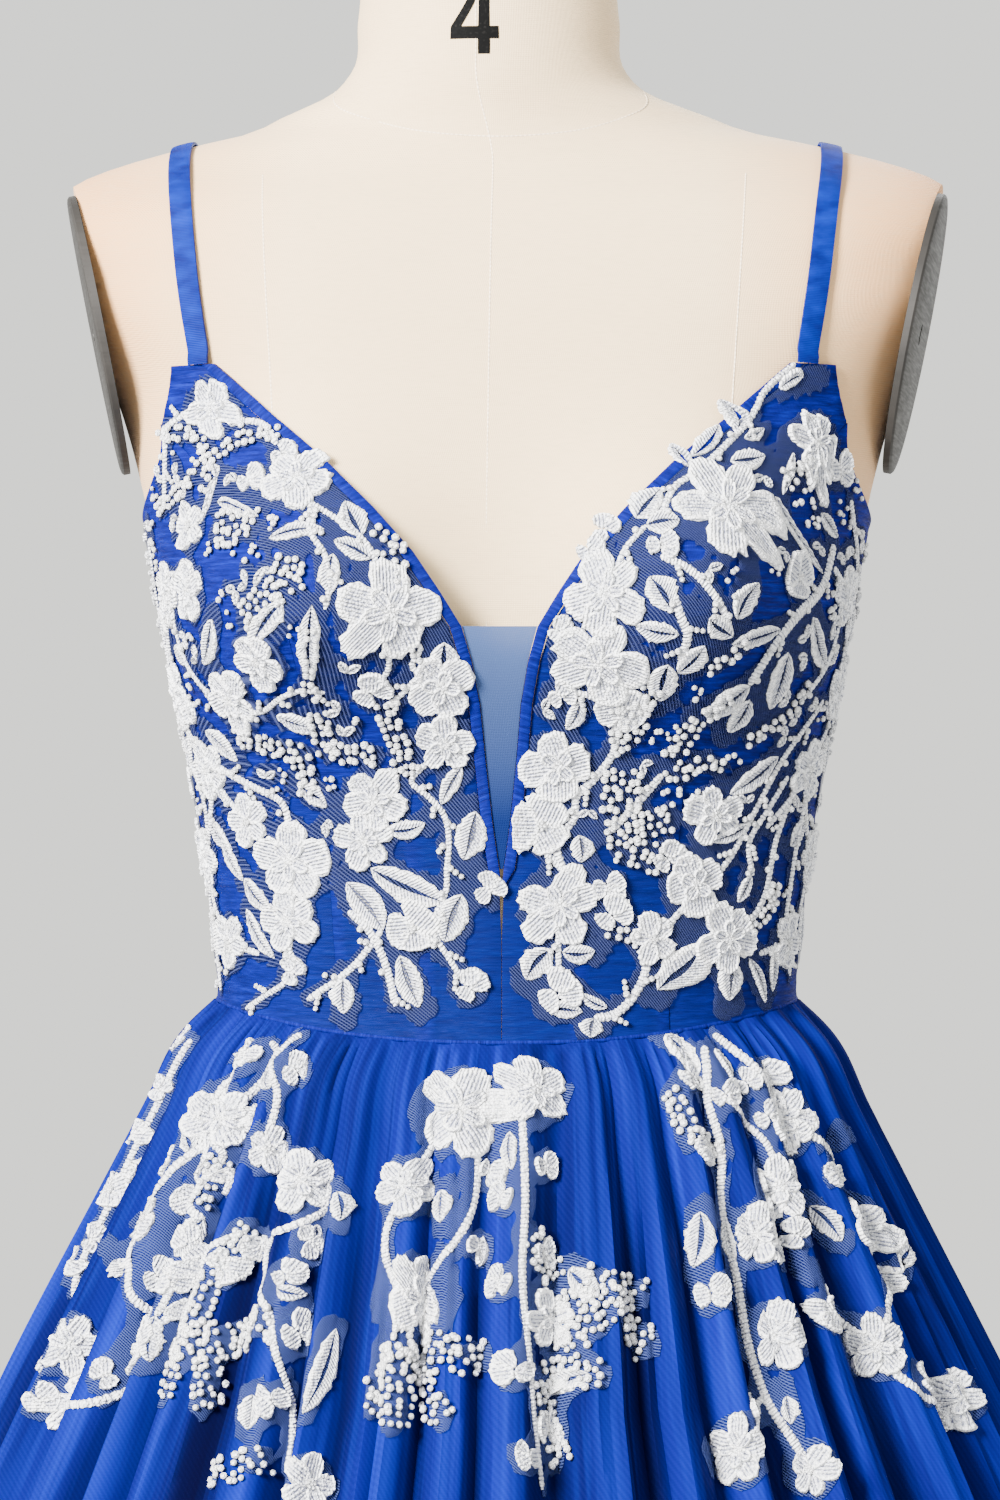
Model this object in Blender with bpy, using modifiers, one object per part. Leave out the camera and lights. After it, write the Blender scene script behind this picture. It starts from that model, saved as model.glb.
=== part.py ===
"""A short homecoming dress on a limbless dress form.

The dress: a boned bodice with a deep V neckline, a mesh insert in the V, two narrow straps,
a gathered tulle skirt and embroidered lace applied over both. The form stands on a pole and
a round base. Metres, +Z up, the front of the dress faces -Y, the origin is the middle of the
base's underside.
"""

from math import atan2, ceil, cos, exp, pi, radians, sin

import bmesh
import bpy
import numpy as np
from mathutils import Matrix, Vector
from mathutils.bvhtree import BVHTree
from mathutils.geometry import delaunay_2d_cdt

NAME = "homecoming_dress"

# ---- driving dimensions ----
SEAM_GAP = 0.0003
WAIST_GAP = 0.0005
BODICE_CLEAR = 0.0014
BODICE_WALL = 0.0012
SKIRT_WALL = 0.0014
SKIRT_LENGTH = 0.48
HEM_HEIGHT = 0.558
WAIST_FRONT = 1.026
WAIST_SIDE = 1.041
WAIST_BACK = 1.036
PEAK_HEIGHT = 1.3145
ARMHOLE_LOW = 1.250
BACK_TOP = 1.195
STRAP_WIDTH = 0.0095
STRAP_THICK = 0.0016
STRAP_CLEAR = 0.0014
BINDING_WIDTH = 0.0046
ZIP_HALF_WIDTH = 0.0016
INSERT_TOP = 1.202
PLATE_LEAN = 11.3
PLATE_TOE = 6.7
PLATE_TALL = 0.124
PLATE_DEEP = 0.100
PLATE_THICK = 0.004
PLATE_X = 0.1767
PLATE_Z = 1.3320
PLATE_Y = -0.012
NECK_SHIFT = -0.008
NECK_TOP = 1.530
TORSO_FOOT = 0.700
POLE_RADIUS = 0.016
BASE_RADIUS = 0.200

# The form's sections: height, half width, depth to the front and to the back, squareness.
SECTIONS = (
    (0.700, 0.1500, 0.0950, 0.1050, 2.3),
    (0.760, 0.1620, 0.1050, 0.1200, 2.3),
    (0.840, 0.1660, 0.1100, 0.1250, 2.3),
    (0.930, 0.1520, 0.1030, 0.1080, 2.3),
    (1.000, 0.1295, 0.0900, 0.0900, 2.3),
    (1.040, 0.1245, 0.0850, 0.0830, 2.3),
    (1.080, 0.1275, 0.0860, 0.0860, 2.3),
    (1.140, 0.1360, 0.0920, 0.0960, 2.3),
    (1.213, 0.1500, 0.0980, 0.1080, 2.3),
    (1.260, 0.1590, 0.0970, 0.1120, 2.35),
    (1.300, 0.1700, 0.0900, 0.1120, 2.4),
    (1.350, 0.1905, 0.0800, 0.1040, 3.0),
    (1.385, 0.1970, 0.0660, 0.0900, 2.7),
    (1.400, 0.1880, 0.0560, 0.0740, 1.9),
    (1.4144, 0.1415, 0.0530, 0.0650, 1.6),
    (1.4207, 0.1120, 0.0525, 0.0610, 1.55),
    (1.428, 0.0940, 0.0530, 0.0580, 1.6),
    (1.4385, 0.0690, 0.0540, 0.0560, 1.8),
    (1.446, 0.0615, 0.0535, 0.0545, 2.0),
    (1.470, 0.0575, 0.0525, 0.0535, 2.0),
    (1.530, 0.0555, 0.0510, 0.0520, 2.0),
)
# Half of the opening between the neckline's edges: height, half width.
NECKLINE = (
    (1.092, 0.00015),
    (1.100, 0.0010),
    (1.119, 0.0038),
    (1.146, 0.0067),
    (1.173, 0.0092),
    (1.186, 0.0117),
    (1.202, 0.0165),
    (1.214, 0.0245),
    (1.233, 0.0380),
    (1.256, 0.0595),
    (1.276, 0.0804),
    (1.288, 0.0945),
    (1.303, 0.1105),
    (1.3145, 0.1235),
)
# The princess seam and, above it, the armhole edge: height, degrees round from the front.
PRINCESS = (
    (1.020, 31.0),
    (1.100, 31.0),
    (1.160, 31.5),
    (1.213, 34.0),
    (1.250, 41.0),
    (1.275, 51.0),
    (1.290, 58.4),
    (1.3145, 48.9),
)
PRINCESS_TOP = 1.290
SIDE_ANGLE = 90.0
# The skirt's outline: drop below the waist, half width of the fold crests, depth of a fold.
SKIRT_PROFILE = (
    (0.000, 0.1280, 0.0000),
    (0.012, 0.1405, 0.0035),
    (0.045, 0.1590, 0.0065),
    (0.095, 0.1845, 0.0100),
    (0.160, 0.2180, 0.0133),
    (0.240, 0.2570, 0.0165),
    (0.350, 0.3080, 0.0198),
    (0.480, 0.3550, 0.0230),
)
SKIRT_FLATTER = 0.038
WAIST_SQUARER = 0.3
WAIST_SQUARE_FADE = 0.15
# The skirt's folds: degrees round from the front, share of the full depth, degrees of drift
# from the waist to the hem.
FOLDS = (
    (-174, 0.9, 0.0),
    (-162, 0.8, 1.0),
    (-150, 1.0, -1.0),
    (-137, 0.8, 0.0),
    (-124, 1.0, 1.0),
    (-111, 0.9, 0.0),
    (-98, 0.9, -1.0),
    (-86, 0.8, 1.0),
    (-75, 0.6, 0.0),
    (-65, 0.9, -1.5),
    (-56, 0.55, 0.0),
    (-47, 0.8, 1.0),
    (-38.5, 0.6, -1.0),
    (-29, 0.75, 0.5),
    (-21, 0.5, 1.0),
    (-12.5, 0.8, -1.0),
    (-5, 0.45, -0.5),
    (3, 0.8, 0.5),
    (13, 0.75, -1.0),
    (20, 0.45, 0.0),
    (29, 0.8, 1.0),
    (36.5, 0.4, 1.0),
    (45, 0.75, 0.0),
    (54, 0.6, -1.0),
    (64, 0.85, 1.0),
    (75, 0.6, 0.0),
    (86, 0.85, 0.0),
    (98, 0.9, 1.0),
    (111, 0.9, -1.0),
    (124, 1.0, 0.0),
    (137, 0.8, 1.0),
    (150, 1.0, 0.0),
    (162, 0.8, -1.0),
    (174, 0.9, 0.0),
)
COLUMNS_PER_FOLD = 4
# The front panel runs between these two places, counted in folds.
FRONT_FOLDS = (6.5, 26.5)
GATHER_DEPTH = 0.0011
GATHER_FADE = 0.045


# ---- smooth curves through short tables ----
def smooth(table, column, at):
    """A smooth curve through a table's first column and one other column."""
    keys = np.array([row[0] for row in table], float)
    values = np.array([row[column] for row in table], float)
    slopes = np.gradient(values, keys)
    at = np.clip(np.asarray(at, float), keys[0], keys[-1])
    i = np.clip(np.searchsorted(keys, at, side="right") - 1, 0, len(keys) - 2)
    step = keys[i + 1] - keys[i]
    t = (at - keys[i]) / step
    rise = (1 + 2 * t) * (1 - t) ** 2 * values[i] + t * t * (3 - 2 * t) * values[i + 1]
    bend = t * (1 - t) ** 2 * slopes[i] - t * t * (1 - t) * slopes[i + 1]
    return rise + bend * step


def straight(table, column, at):
    return np.interp(at, [row[0] for row in table], [row[column] for row in table])


# ---- the body's surface, as the form and the bodice follow it ----
BUST_X = 0.088
BUST_Z = 1.212
BUST_FORWARD = 0.042
BUST_SIDE = 0.048
BUST_BELOW = 0.046
BUST_ABOVE = 0.062
FORM_VALLEY = 0.038
BODICE_VALLEY = 0.024


def bust(x, z, valley):
    """How far the front stands forward of the plain section."""
    across = abs(x) / BUST_X
    if across < 1:
        reach = BUST_FORWARD - valley * (1 - across * across) ** 2
    else:
        reach = BUST_FORWARD * exp(-(((abs(x) - BUST_X) / BUST_SIDE) ** 2))
    spread = BUST_BELOW if z < BUST_Z else BUST_ABOVE
    return reach * exp(-(((z - BUST_Z) / spread) ** 2))


def signed_power(value, power):
    return abs(value) ** power * (1 if value >= 0 else -1)


def body_point(angle, z, valley):
    """A point of the section at height z; angle 0 is the front, 90 degrees the side at +X."""
    half = float(smooth(SECTIONS, 1, z))
    squareness = float(smooth(SECTIONS, 4, z))
    front = cos(angle) > 0
    deep = float(smooth(SECTIONS, 2 if front else 3, z))
    x = half * signed_power(sin(angle), 2 / squareness)
    y = -deep * signed_power(cos(angle), 2 / squareness)
    if front:
        y -= bust(x, z, valley) * min(1.0, cos(angle) * 2.5)
    return Vector((x, y, z))


def angle_at(x, z, out):
    """The angle whose point lies at x, for a surface moved out by that much."""
    half = float(smooth(SECTIONS, 1, z)) + out
    squareness = float(smooth(SECTIONS, 4, z))
    share = min(1.0, abs(x) / half) ** (squareness / 2)
    return atan2(share, max(0.0, 1 - share * share) ** 0.5) * (1 if x >= 0 else -1)


def bodice_point(angle, z, out):
    """A point of the bodice, moved out from the body along the surface's normal."""
    point = body_point(angle, z, BODICE_VALLEY)
    turn = 0.02
    rise = 0.003
    along = body_point(angle + turn, z, BODICE_VALLEY) - body_point(angle - turn, z, BODICE_VALLEY)
    up = body_point(angle, z + rise, BODICE_VALLEY) - body_point(angle, z - rise, BODICE_VALLEY)
    return point + along.cross(up).normalized() * out


def waist_height(angle):
    low = WAIST_FRONT if cos(angle) > 0 else WAIST_BACK
    return low + (WAIST_SIDE - low) * sin(angle) ** 2


# ---- objects and materials ----
def material(name, colour, roughness, metallic=0.0):
    made = bpy.data.materials.get(name) or bpy.data.materials.new(name)
    made.use_nodes = True
    shader = made.node_tree.nodes["Principled BSDF"]
    shader.inputs["Base Color"].default_value = (*colour, 1.0)
    shader.inputs["Roughness"].default_value = roughness
    shader.inputs["Metallic"].default_value = metallic
    made.diffuse_color = (*colour, 1.0)
    return made


def add_mesh(name, points, faces, finish, collection):
    mesh = bpy.data.meshes.new(name)
    mesh.from_pydata([tuple(point) for point in points], [], faces)
    mesh.materials.append(finish)
    mesh.shade_smooth()
    mesh.set_sharp_from_angle(angle=radians(50))
    made = bpy.data.objects.new(name, mesh)
    collection.objects.link(made)
    return made


def split(a, b, c, d, other_way):
    """Two triangles of a four-sided face, along one diagonal or the other."""
    if other_way:
        return [(a, b, d), (b, c, d)]
    return [(a, b, c), (a, c, d)]


def wall(name, outer, inner, finish, collection, other_way=False):
    """A closed wall between two grids of points, with a rim along all four edges."""
    rows = len(outer)
    columns = len(outer[0])
    points = [point for row in outer for point in row] + [point for row in inner for point in row]
    count = rows * columns
    faces = []
    for i in range(rows - 1):
        for j in range(columns - 1):
            a = i * columns + j
            front = split(a, a + 1, a + columns + 1, a + columns, other_way)
            faces += front
            faces += [tuple(corner + count for corner in face[::-1]) for face in front]
    rim = [j for j in range(columns)]
    rim += [i * columns + columns - 1 for i in range(1, rows)]
    rim += [(rows - 1) * columns + j for j in range(columns - 2, -1, -1)]
    rim += [i * columns for i in range(rows - 2, 0, -1)]
    for a, b in zip(rim, rim[1:] + rim[:1]):
        faces.append((b, a, a + count, b + count))
    return add_mesh(name, points, faces, finish, collection)


# ---- the dress form ----
FORM_COLUMNS = 32
FORM_HEIGHTS = (
    0.700, 0.840, 0.930, 0.980, 1.020, 1.045, 1.080, 1.115, 1.150, 1.175, 1.195, 1.215,
    1.238, 1.260, 1.280, 1.300, 1.340, 1.372, 1.387, 1.402, 1.409, 1.4144, 1.4207, 1.428,
    1.4385, 1.446, 1.470, 1.530,
)
# The plain neck, the shoulders and the arm plates stand up from the same sections.


def form_point(angle, z):
    point = body_point(angle, z, FORM_VALLEY)
    lift = min(1.0, max(0.0, (z - 1.400) / 0.045))
    point.x += NECK_SHIFT * lift * lift * (3 - 2 * lift)
    return point


def form_torso(finish, collection):
    points = []
    for z in FORM_HEIGHTS:
        for j in range(FORM_COLUMNS):
            points.append(form_point(2 * pi * j / FORM_COLUMNS, z))
    faces = []
    for i in range(len(FORM_HEIGHTS) - 1):
        for j in range(FORM_COLUMNS):
            a = i * FORM_COLUMNS + j
            b = i * FORM_COLUMNS + (j + 1) % FORM_COLUMNS
            right = j < FORM_COLUMNS // 2
            faces += split(a, b, b + FORM_COLUMNS, a + FORM_COLUMNS, right)
    last = (len(FORM_HEIGHTS) - 1) * FORM_COLUMNS
    faces.append(tuple(range(FORM_COLUMNS - 1, -1, -1)))
    faces.append(tuple(range(last, last + FORM_COLUMNS)))
    return add_mesh("form_torso", points, faces, finish, collection)


def plate_frame(side, out):
    """Where an arm plate sits: leaning in at its foot and turned a little to the front."""
    turn = Matrix.Rotation(radians(-PLATE_TOE * side), 4, "Z")
    lean = Matrix.Rotation(radians(PLATE_LEAN * side), 4, "Y")
    place = Matrix.Translation((side * PLATE_X, PLATE_Y, PLATE_Z))
    return place @ turn @ lean @ Matrix.Translation((side * out, 0, 0))


def cut_arm_face(torso, side, cutters):
    """A block that takes the shoulder's side off flat."""
    size = 0.20
    mesh = bpy.data.meshes.new("arm_cutter")
    shape = bmesh.new()
    bmesh.ops.create_cube(shape, size=size)
    shape.to_mesh(mesh)
    shape.free()
    block = bpy.data.objects.new(f"arm_cutter_{'right' if side > 0 else 'left'}", mesh)
    block.matrix_world = plate_frame(side, size / 2)
    block.hide_render = True
    block.display_type = "WIRE"
    cutters.objects.link(block)
    cut = torso.modifiers.new("arm face", "BOOLEAN")
    cut.operation = "DIFFERENCE"
    cut.solver = "EXACT"
    cut.object = block


def arm_plate(side, finish, collection):
    mesh = bpy.data.meshes.new("arm_plate")
    shape = bmesh.new()
    bmesh.ops.create_cone(
        shape, cap_ends=True, segments=32, radius1=0.5, radius2=0.5, depth=PLATE_THICK
    )
    upright = Matrix.Rotation(radians(90), 4, "Y")
    stretch = Matrix.Diagonal((1.0, PLATE_DEEP, PLATE_TALL, 1.0))
    bmesh.ops.transform(shape, matrix=stretch @ upright, verts=shape.verts)
    shape.to_mesh(mesh)
    shape.free()
    mesh.materials.append(finish)
    made = bpy.data.objects.new(f"form_arm_plate_{'right' if side > 0 else 'left'}", mesh)
    made.matrix_world = plate_frame(side, PLATE_THICK / 2 + SEAM_GAP)
    collection.objects.link(made)
    return made


def turned(name, profile, steps, finish, collection):
    """A profile of radius and height, top to bottom, turned round the pole's axis."""
    mesh = bpy.data.meshes.new(name)
    mesh.from_pydata([(r, 0, z) for r, z in profile], [(i, i + 1) for i in range(len(profile) - 1)], [])
    mesh.materials.append(finish)
    made = bpy.data.objects.new(name, mesh)
    collection.objects.link(made)
    screw = made.modifiers.new("turn", "SCREW")
    screw.axis = "Z"
    screw.steps = steps
    screw.render_steps = steps
    screw.use_merge_vertices = True
    screw.merge_threshold = 0.0001
    return made


def form_stand(finish, collection):
    pole_foot = 0.046
    base = ((0, pole_foot), (0.026, pole_foot), (0.034, 0.036), (0.060, 0.026), (0.150, 0.017),
            (0.188, 0.014), (BASE_RADIUS, 0.007), (BASE_RADIUS, 0.0), (0, 0.0))
    turned("form_base", base, 32, finish, collection)
    pole = ((0, TORSO_FOOT - SEAM_GAP), (POLE_RADIUS, TORSO_FOOT - SEAM_GAP),
            (POLE_RADIUS, pole_foot + SEAM_GAP), (0, pole_foot + SEAM_GAP))
    turned("form_pole", pole, 16, finish, collection)


def neck_cap(finish, collection):
    rows = 3
    columns = 28
    rings = ((0.0, 1.0), (0.005, 1.0), (0.008, 0.9))
    points = []
    for rise, share in rings:
        for j in range(columns):
            edge = form_point(2 * pi * j / columns, NECK_TOP)
            middle = Vector((NECK_SHIFT, 0, NECK_TOP))
            point = middle + (edge - middle) * share * 0.985
            point.z = NECK_TOP + SEAM_GAP + rise
            points.append(point)
    faces = []
    for i in range(rows - 1):
        for j in range(columns):
            a = i * columns + j
            b = i * columns + (j + 1) % columns
            faces.append((a, b, b + columns, a + columns))
    faces.append(tuple(range(columns - 1, -1, -1)))
    faces.append(tuple(range((rows - 1) * columns, rows * columns)))
    return add_mesh("form_neck_cap", points, faces, finish, collection)


# ---- the bodice ----
BODICE_OUT = BODICE_CLEAR + BODICE_WALL
# Heights of the bodice's rows at the princess seam; panels that meet there share them.
LEVELS = (
    WAIST_FRONT, 1.050, 1.072, 1.092, 1.100, 1.120, 1.145, 1.170, 1.188, INSERT_TOP, 1.216, 1.232,
    1.250, 1.270, PRINCESS_TOP, 1.303, PEAK_HEIGHT,
)
SEAM_ROWS = LEVELS.index(PRINCESS_TOP) + 1
FIXED_ROWS = LEVELS.index(NECKLINE[0][0])
FRONT_COLUMNS = 6
SIDE_COLUMNS = 5
BACK_COLUMNS = 7


def neck_half(z):
    return float(straight(NECKLINE, 1, z))


def edge_inset(z):
    """Width along X that the binding takes up, wider where the neckline runs more level."""
    step = 0.004
    run = (neck_half(z + step) - neck_half(z - step)) / (2 * step)
    return BINDING_WIDTH * min(1.0, (z - NECKLINE[0][0]) / 0.008 + 0.1) * (1 + run * run) ** 0.5


def row_height(row, low, top):
    """Height of a row of points on a panel whose edges lie at low and top."""
    seam_low = waist_height(radians(PRINCESS[0][1])) + WAIST_GAP
    level = max(LEVELS[row], seam_low)
    if 0 < row < FIXED_ROWS:
        share = (LEVELS[row] - LEVELS[0]) / (LEVELS[FIXED_ROWS] - LEVELS[0])
        level = seam_low + share * (LEVELS[FIXED_ROWS] - seam_low)
    return low + (level - seam_low) * (top - low) / (PRINCESS_TOP - seam_low)


def side_top(angle):
    """Height of the armhole edge between the princess seam and the side seam."""
    start = radians(PRINCESS[-2][1])
    share = min(1.0, max(0.0, (angle - start) / (radians(SIDE_ANGLE) - start)))
    return ARMHOLE_LOW + (PRINCESS_TOP - ARMHOLE_LOW) * (1 - share) ** 1.5


def back_top(angle):
    return BACK_TOP + (ARMHOLE_LOW - BACK_TOP) * abs(sin(angle)) ** 1.2


def seam_turn(angle, z, sign):
    """An angle moved by half a seam's gap."""
    turn = 0.01
    reach = (bodice_point(angle + turn, z, BODICE_OUT) - bodice_point(angle - turn, z, BODICE_OUT)).length
    return angle + sign * SEAM_GAP * turn / reach


def panel(name, side, rows, columns, place, finish, collection):
    """A bodice panel from place(across, row), which gives an angle and a height."""
    grids = []
    for out in (BODICE_OUT, BODICE_CLEAR):
        grid = []
        for i in range(rows):
            row = []
            for j in range(columns + 1):
                angle, z = place(j / columns, i)
                row.append(bodice_point(angle * side, z, out))
            grid.append(row if side > 0 else row[::-1])
        grids.append(grid)
    return wall(name, grids[0], grids[1], finish, collection, side > 0)


def front_place(across, row):
    z = row_height(row, waist_height(0.0) + WAIST_GAP, PRINCESS_TOP)
    if row >= FIXED_ROWS:
        z = LEVELS[row]
    half = SEAM_GAP / 2
    if row >= FIXED_ROWS:
        half = neck_half(z) + edge_inset(z) + SEAM_GAP
    inner = angle_at(half, z, BODICE_OUT)
    outer = seam_turn(radians(float(straight(PRINCESS, 1, z))), z, -1)
    angle = inner + across * (outer - inner)
    if row < FIXED_ROWS:
        z = row_height(row, waist_height(angle) + WAIST_GAP, PRINCESS_TOP)
    return angle, z


def side_place(across, row):
    start = radians(PRINCESS[-2][1])
    turned_to = start + across * (radians(SIDE_ANGLE) - start)
    foot = radians(PRINCESS[0][1]) + across * (radians(SIDE_ANGLE) - radians(PRINCESS[0][1]))
    z = row_height(row, waist_height(foot) + WAIST_GAP, side_top(turned_to))
    inner = radians(float(straight(PRINCESS, 1, min(z, PRINCESS_TOP))))
    inner = seam_turn(inner, z, 1)
    outer = seam_turn(radians(SIDE_ANGLE), z, -1)
    return inner + across * (outer - inner), z


def back_place(across, row):
    turned_to = radians(SIDE_ANGLE) + across * (pi - radians(SIDE_ANGLE))
    z = row_height(row, waist_height(turned_to) + WAIST_GAP, back_top(turned_to))
    inner = seam_turn(radians(SIDE_ANGLE), z, 1)
    outer = pi - angle_at(ZIP_HALF_WIDTH + SEAM_GAP, z, BODICE_OUT)
    return inner + across * (outer - inner), z


def strip(name, places, outs, side, finish, collection):
    """A narrow wall along a list of (first angle, last angle, height)."""
    grids = []
    for out in outs:
        grid = []
        for first, last, z in places:
            ends = [bodice_point(angle * side, z, out) for angle in (first, last)]
            grid.append(ends if side > 0 else ends[::-1])
        grids.append(grid)
    return wall(name, grids[0], grids[1], finish, collection)


def neck_binding(side, finish, collection):
    places = []
    for z in LEVELS[FIXED_ROWS:]:
        half = neck_half(z)
        first = angle_at(half, z, BODICE_OUT)
        last = angle_at(half + edge_inset(z), z, BODICE_OUT)
        places.append((first, last, z))
    name = f"neck_binding_{'right' if side > 0 else 'left'}"
    outs = (BODICE_OUT + 0.0003, BODICE_CLEAR - 0.0002)
    return strip(name, places, outs, side, finish, collection)


def mesh_insert(finish, collection):
    columns = 4
    grids = []
    for out in (BODICE_OUT - 0.0001, BODICE_CLEAR + 0.0001):
        grid = []
        for z in LEVELS[FIXED_ROWS + 1 : LEVELS.index(INSERT_TOP) + 1]:
            half = angle_at(max(neck_half(z) - SEAM_GAP, SEAM_GAP), z, BODICE_OUT)
            grid.append([bodice_point(half * (2 * j / columns - 1), z, out) for j in range(columns + 1)])
        grids.append(grid)
    return wall("mesh_insert", grids[0], grids[1], finish, collection)


def back_zip(finish, collection):
    places = []
    for row in range(SEAM_ROWS):
        z = row_height(row, waist_height(pi) + WAIST_GAP, BACK_TOP)
        half = angle_at(ZIP_HALF_WIDTH, z, BODICE_OUT)
        places.append((pi - half, pi + half, z))
    return strip("back_zip", places, (BODICE_OUT + 0.0006, BODICE_CLEAR), 1, finish, collection)


# ---- the straps ----
STRAP_STATIONS = 26
STRAP_AXIS = Vector((0.0, -0.010, 1.300))
# The strap's route over the shoulder: degrees up from the front, distance from the middle.
STRAP_ROUTE = (
    (16.2, 0.1283),
    (45.0, 0.1350),
    (90.0, 0.1415),
    (130.0, 0.1330),
    (175.0, 0.1050),
    (213.0, 0.0875),
)


def strap(side, torso_tree, finish, collection):
    start = STRAP_ROUTE[0][0]
    stop = STRAP_ROUTE[-1][0]
    rows = []
    for i in range(STRAP_STATIONS):
        turn = start + (stop - start) * i / (STRAP_STATIONS - 1)
        x = float(smooth(STRAP_ROUTE, 1, turn)) * side
        towards = Vector((0, -cos(radians(turn)), sin(radians(turn))))
        middle = Vector((x, STRAP_AXIS.y, STRAP_AXIS.z))
        hit, normal, _, _ = torso_tree.ray_cast(middle + towards * 0.4, -towards)
        rows.append((hit, normal))
    centres = [hit for hit, _ in rows]
    normals = [normal for _, normal in rows]
    grids = {True: [], False: []}
    for i in range(STRAP_STATIONS):
        before = max(i - 1, 0)
        after = min(i + 1, STRAP_STATIONS - 1)
        along = (centres[after] - centres[before]).normalized()
        normal = (normals[before] + normals[i] + normals[after]).normalized()
        across = normal.cross(along).normalized() * STRAP_WIDTH / 2
        up = along.cross(across).normalized()
        if up.dot(normal) < 0:
            up.negate()
        for outer in (True, False):
            lift = STRAP_CLEAR + (STRAP_THICK if outer else 0.0)
            middle = centres[i] + up * lift
            grids[outer].append([middle + across, middle - across])
    name = f"strap_{'right' if side > 0 else 'left'}"
    return wall(name, grids[True], grids[False], finish, collection)


# ---- the skirt ----
def fold_angle(u, drop):
    """Degrees round from the front for a place counted in folds."""
    whole = len(FOLDS)
    table = []
    for k in range(-2, whole + 3):
        table.append((k, FOLDS[k % whole][0] + 360 * (k // whole), FOLDS[k % whole][2]))
    return float(smooth(table, 1, u) + smooth(table, 2, u) * drop / SKIRT_LENGTH)


def fold_share(u):
    whole = len(FOLDS)
    k = int(np.floor(u))
    t = u - k
    ease = (1 - cos(pi * t)) / 2
    return FOLDS[k % whole][1] * (1 - ease) + FOLDS[(k + 1) % whole][1] * ease


def skirt_point(u, drop):
    """The skirt's outer face: u counts folds round it, drop runs down from the waist."""
    angle = radians(fold_angle(u, drop))
    half = float(smooth(SKIRT_PROFILE, 1, drop))
    depth = float(straight(SKIRT_PROFILE, 2, drop)) * fold_share(u)
    wave = 2 * abs(cos(pi * u)) ** 1.2 - 1
    gather = GATHER_DEPTH * cos(2 * pi * u) * max(0.0, 1 - drop / GATHER_FADE)
    reach = depth * (wave - 1) + gather
    power = 2 / (2 + WAIST_SQUARER * max(0.0, 1 - drop / WAIST_SQUARE_FADE))
    x = half * signed_power(sin(angle), power) + reach * sin(angle)
    y = -(half - SKIRT_FLATTER) * signed_power(cos(angle), power) - reach * cos(angle)
    waist = waist_height(angle) - SEAM_GAP / 2
    z = waist + (HEM_HEIGHT - waist) * drop / SKIRT_LENGTH
    return Vector((x, y, z))


def skirt_grid(first, last):
    """Points and outward normals of the outer face between two places, row by row."""
    steps = int(round((last - first) * COLUMNS_PER_FOLD))
    places = [first + (last - first) * j / steps for j in range(steps + 1)]
    drops = [row[0] for row in SKIRT_PROFILE]
    points = [[skirt_point(u, drop) for u in places] for drop in drops]
    return places, drops, points


def grid_normals(points):
    """Outward normals of a grid of points, from its own faces."""
    rows = len(points)
    columns = len(points[0])
    normals = [[Vector((0, 0, 0)) for _ in range(columns)] for _ in range(rows)]
    for i in range(rows - 1):
        for j in range(columns - 1):
            a, b = points[i][j], points[i][j + 1]
            c, d = points[i + 1][j + 1], points[i + 1][j]
            face = (c - a).cross(d - b)
            for row, column in ((i, j), (i, j + 1), (i + 1, j + 1), (i + 1, j)):
                normals[row][column] += face
    return [[normal.normalized() for normal in row] for row in normals]


def skirt_panel(name, first, last, finish, collection):
    places, drops, points = skirt_grid(first, last)
    whole = skirt_grid(first - 1, last + 1)[2]
    inward = grid_normals([row[::-1] for row in whole])
    inward = [row[::-1][COLUMNS_PER_FOLD:-COLUMNS_PER_FOLD] for row in inward]
    for i in range(len(points)):
        for end, sign in ((0, 1), (-1, -1)):
            next_one = points[i][1 if end == 0 else -2]
            along = (next_one - points[i][end]).normalized()
            points[i][end] = points[i][end] + along * SEAM_GAP / 2
    inner = []
    for i in range(len(points)):
        inner.append([points[i][j] - inward[i][j] * SKIRT_WALL for j in range(len(places))])
    outer = points[::-1]
    return wall(name, outer, inner[::-1], finish, collection)


# ---- the lace: flowers, leaves, cords and bead work as the picture shows them ----
# A place in the picture is counted in its own units, across and down from its top left corner.
EYE_AWAY = 2.2
EYE_HEIGHT = 1.15
EYE_TURN = 1.5
PICTURE_UNIT = 0.00044
PICTURE_MIDDLE = (507, 750)
SIDE_VIEW = 62.0
# How far down the picture the bodice's and the skirt's middles lie.
BODICE_CENTRE = 750
SKIRT_CENTRE = 1250
BODICE_LACE_CLEAR = 0.0015
SKIRT_LACE_CLEAR = 0.0006
LACE_THICK = 0.0007
LACE_RAISED = 0.0009
CORD_LEAST = 0.0027
LARGE_FLOWER = 33
NET_MARGIN = 0.0016
CORD_MARGIN = 0.0005
HOLE_LEAST = 20e-6
ISLAND_LEAST = 60e-6
OUTLINE_SLACK = 0.0016
LONGEST_EDGE = 0.024
BRIDGE_WIDTH = 0.0036
# Steps towards the middle that find the cloth's edge for a place just off it.
SEARCH_STEPS = 120
# Flowers: across, down, radius, petals. Smaller motifs lie inside these and their net.
BODICE_FLOWERS = (
    (213, 408, 27, 5), (297, 480, 30, 5), (191, 526, 21, 5), (389, 612, 44, 5), (191, 591, 25, 5),
    (258, 660, 26, 5), (232, 699, 29, 5), (441, 686, 30, 4), (445, 743, 25, 5), (374, 800, 28, 5),
    (364, 839, 26, 5), (249, 821, 22, 5), (292, 860, 36, 5), (289, 921, 28, 5), (412, 928, 20, 3),
    (606, 593, 33, 5), (599, 662, 42, 5), (558, 766, 30, 4), (560, 905, 35, 5), (727, 507, 46, 6),
    (815, 444, 27, 6), (714, 815, 27, 5), (652, 939, 21, 5), (727, 938, 30, 5), (694, 884, 28, 4),
    (541, 825, 23, 3), (622, 708, 21, 3),
)
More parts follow.
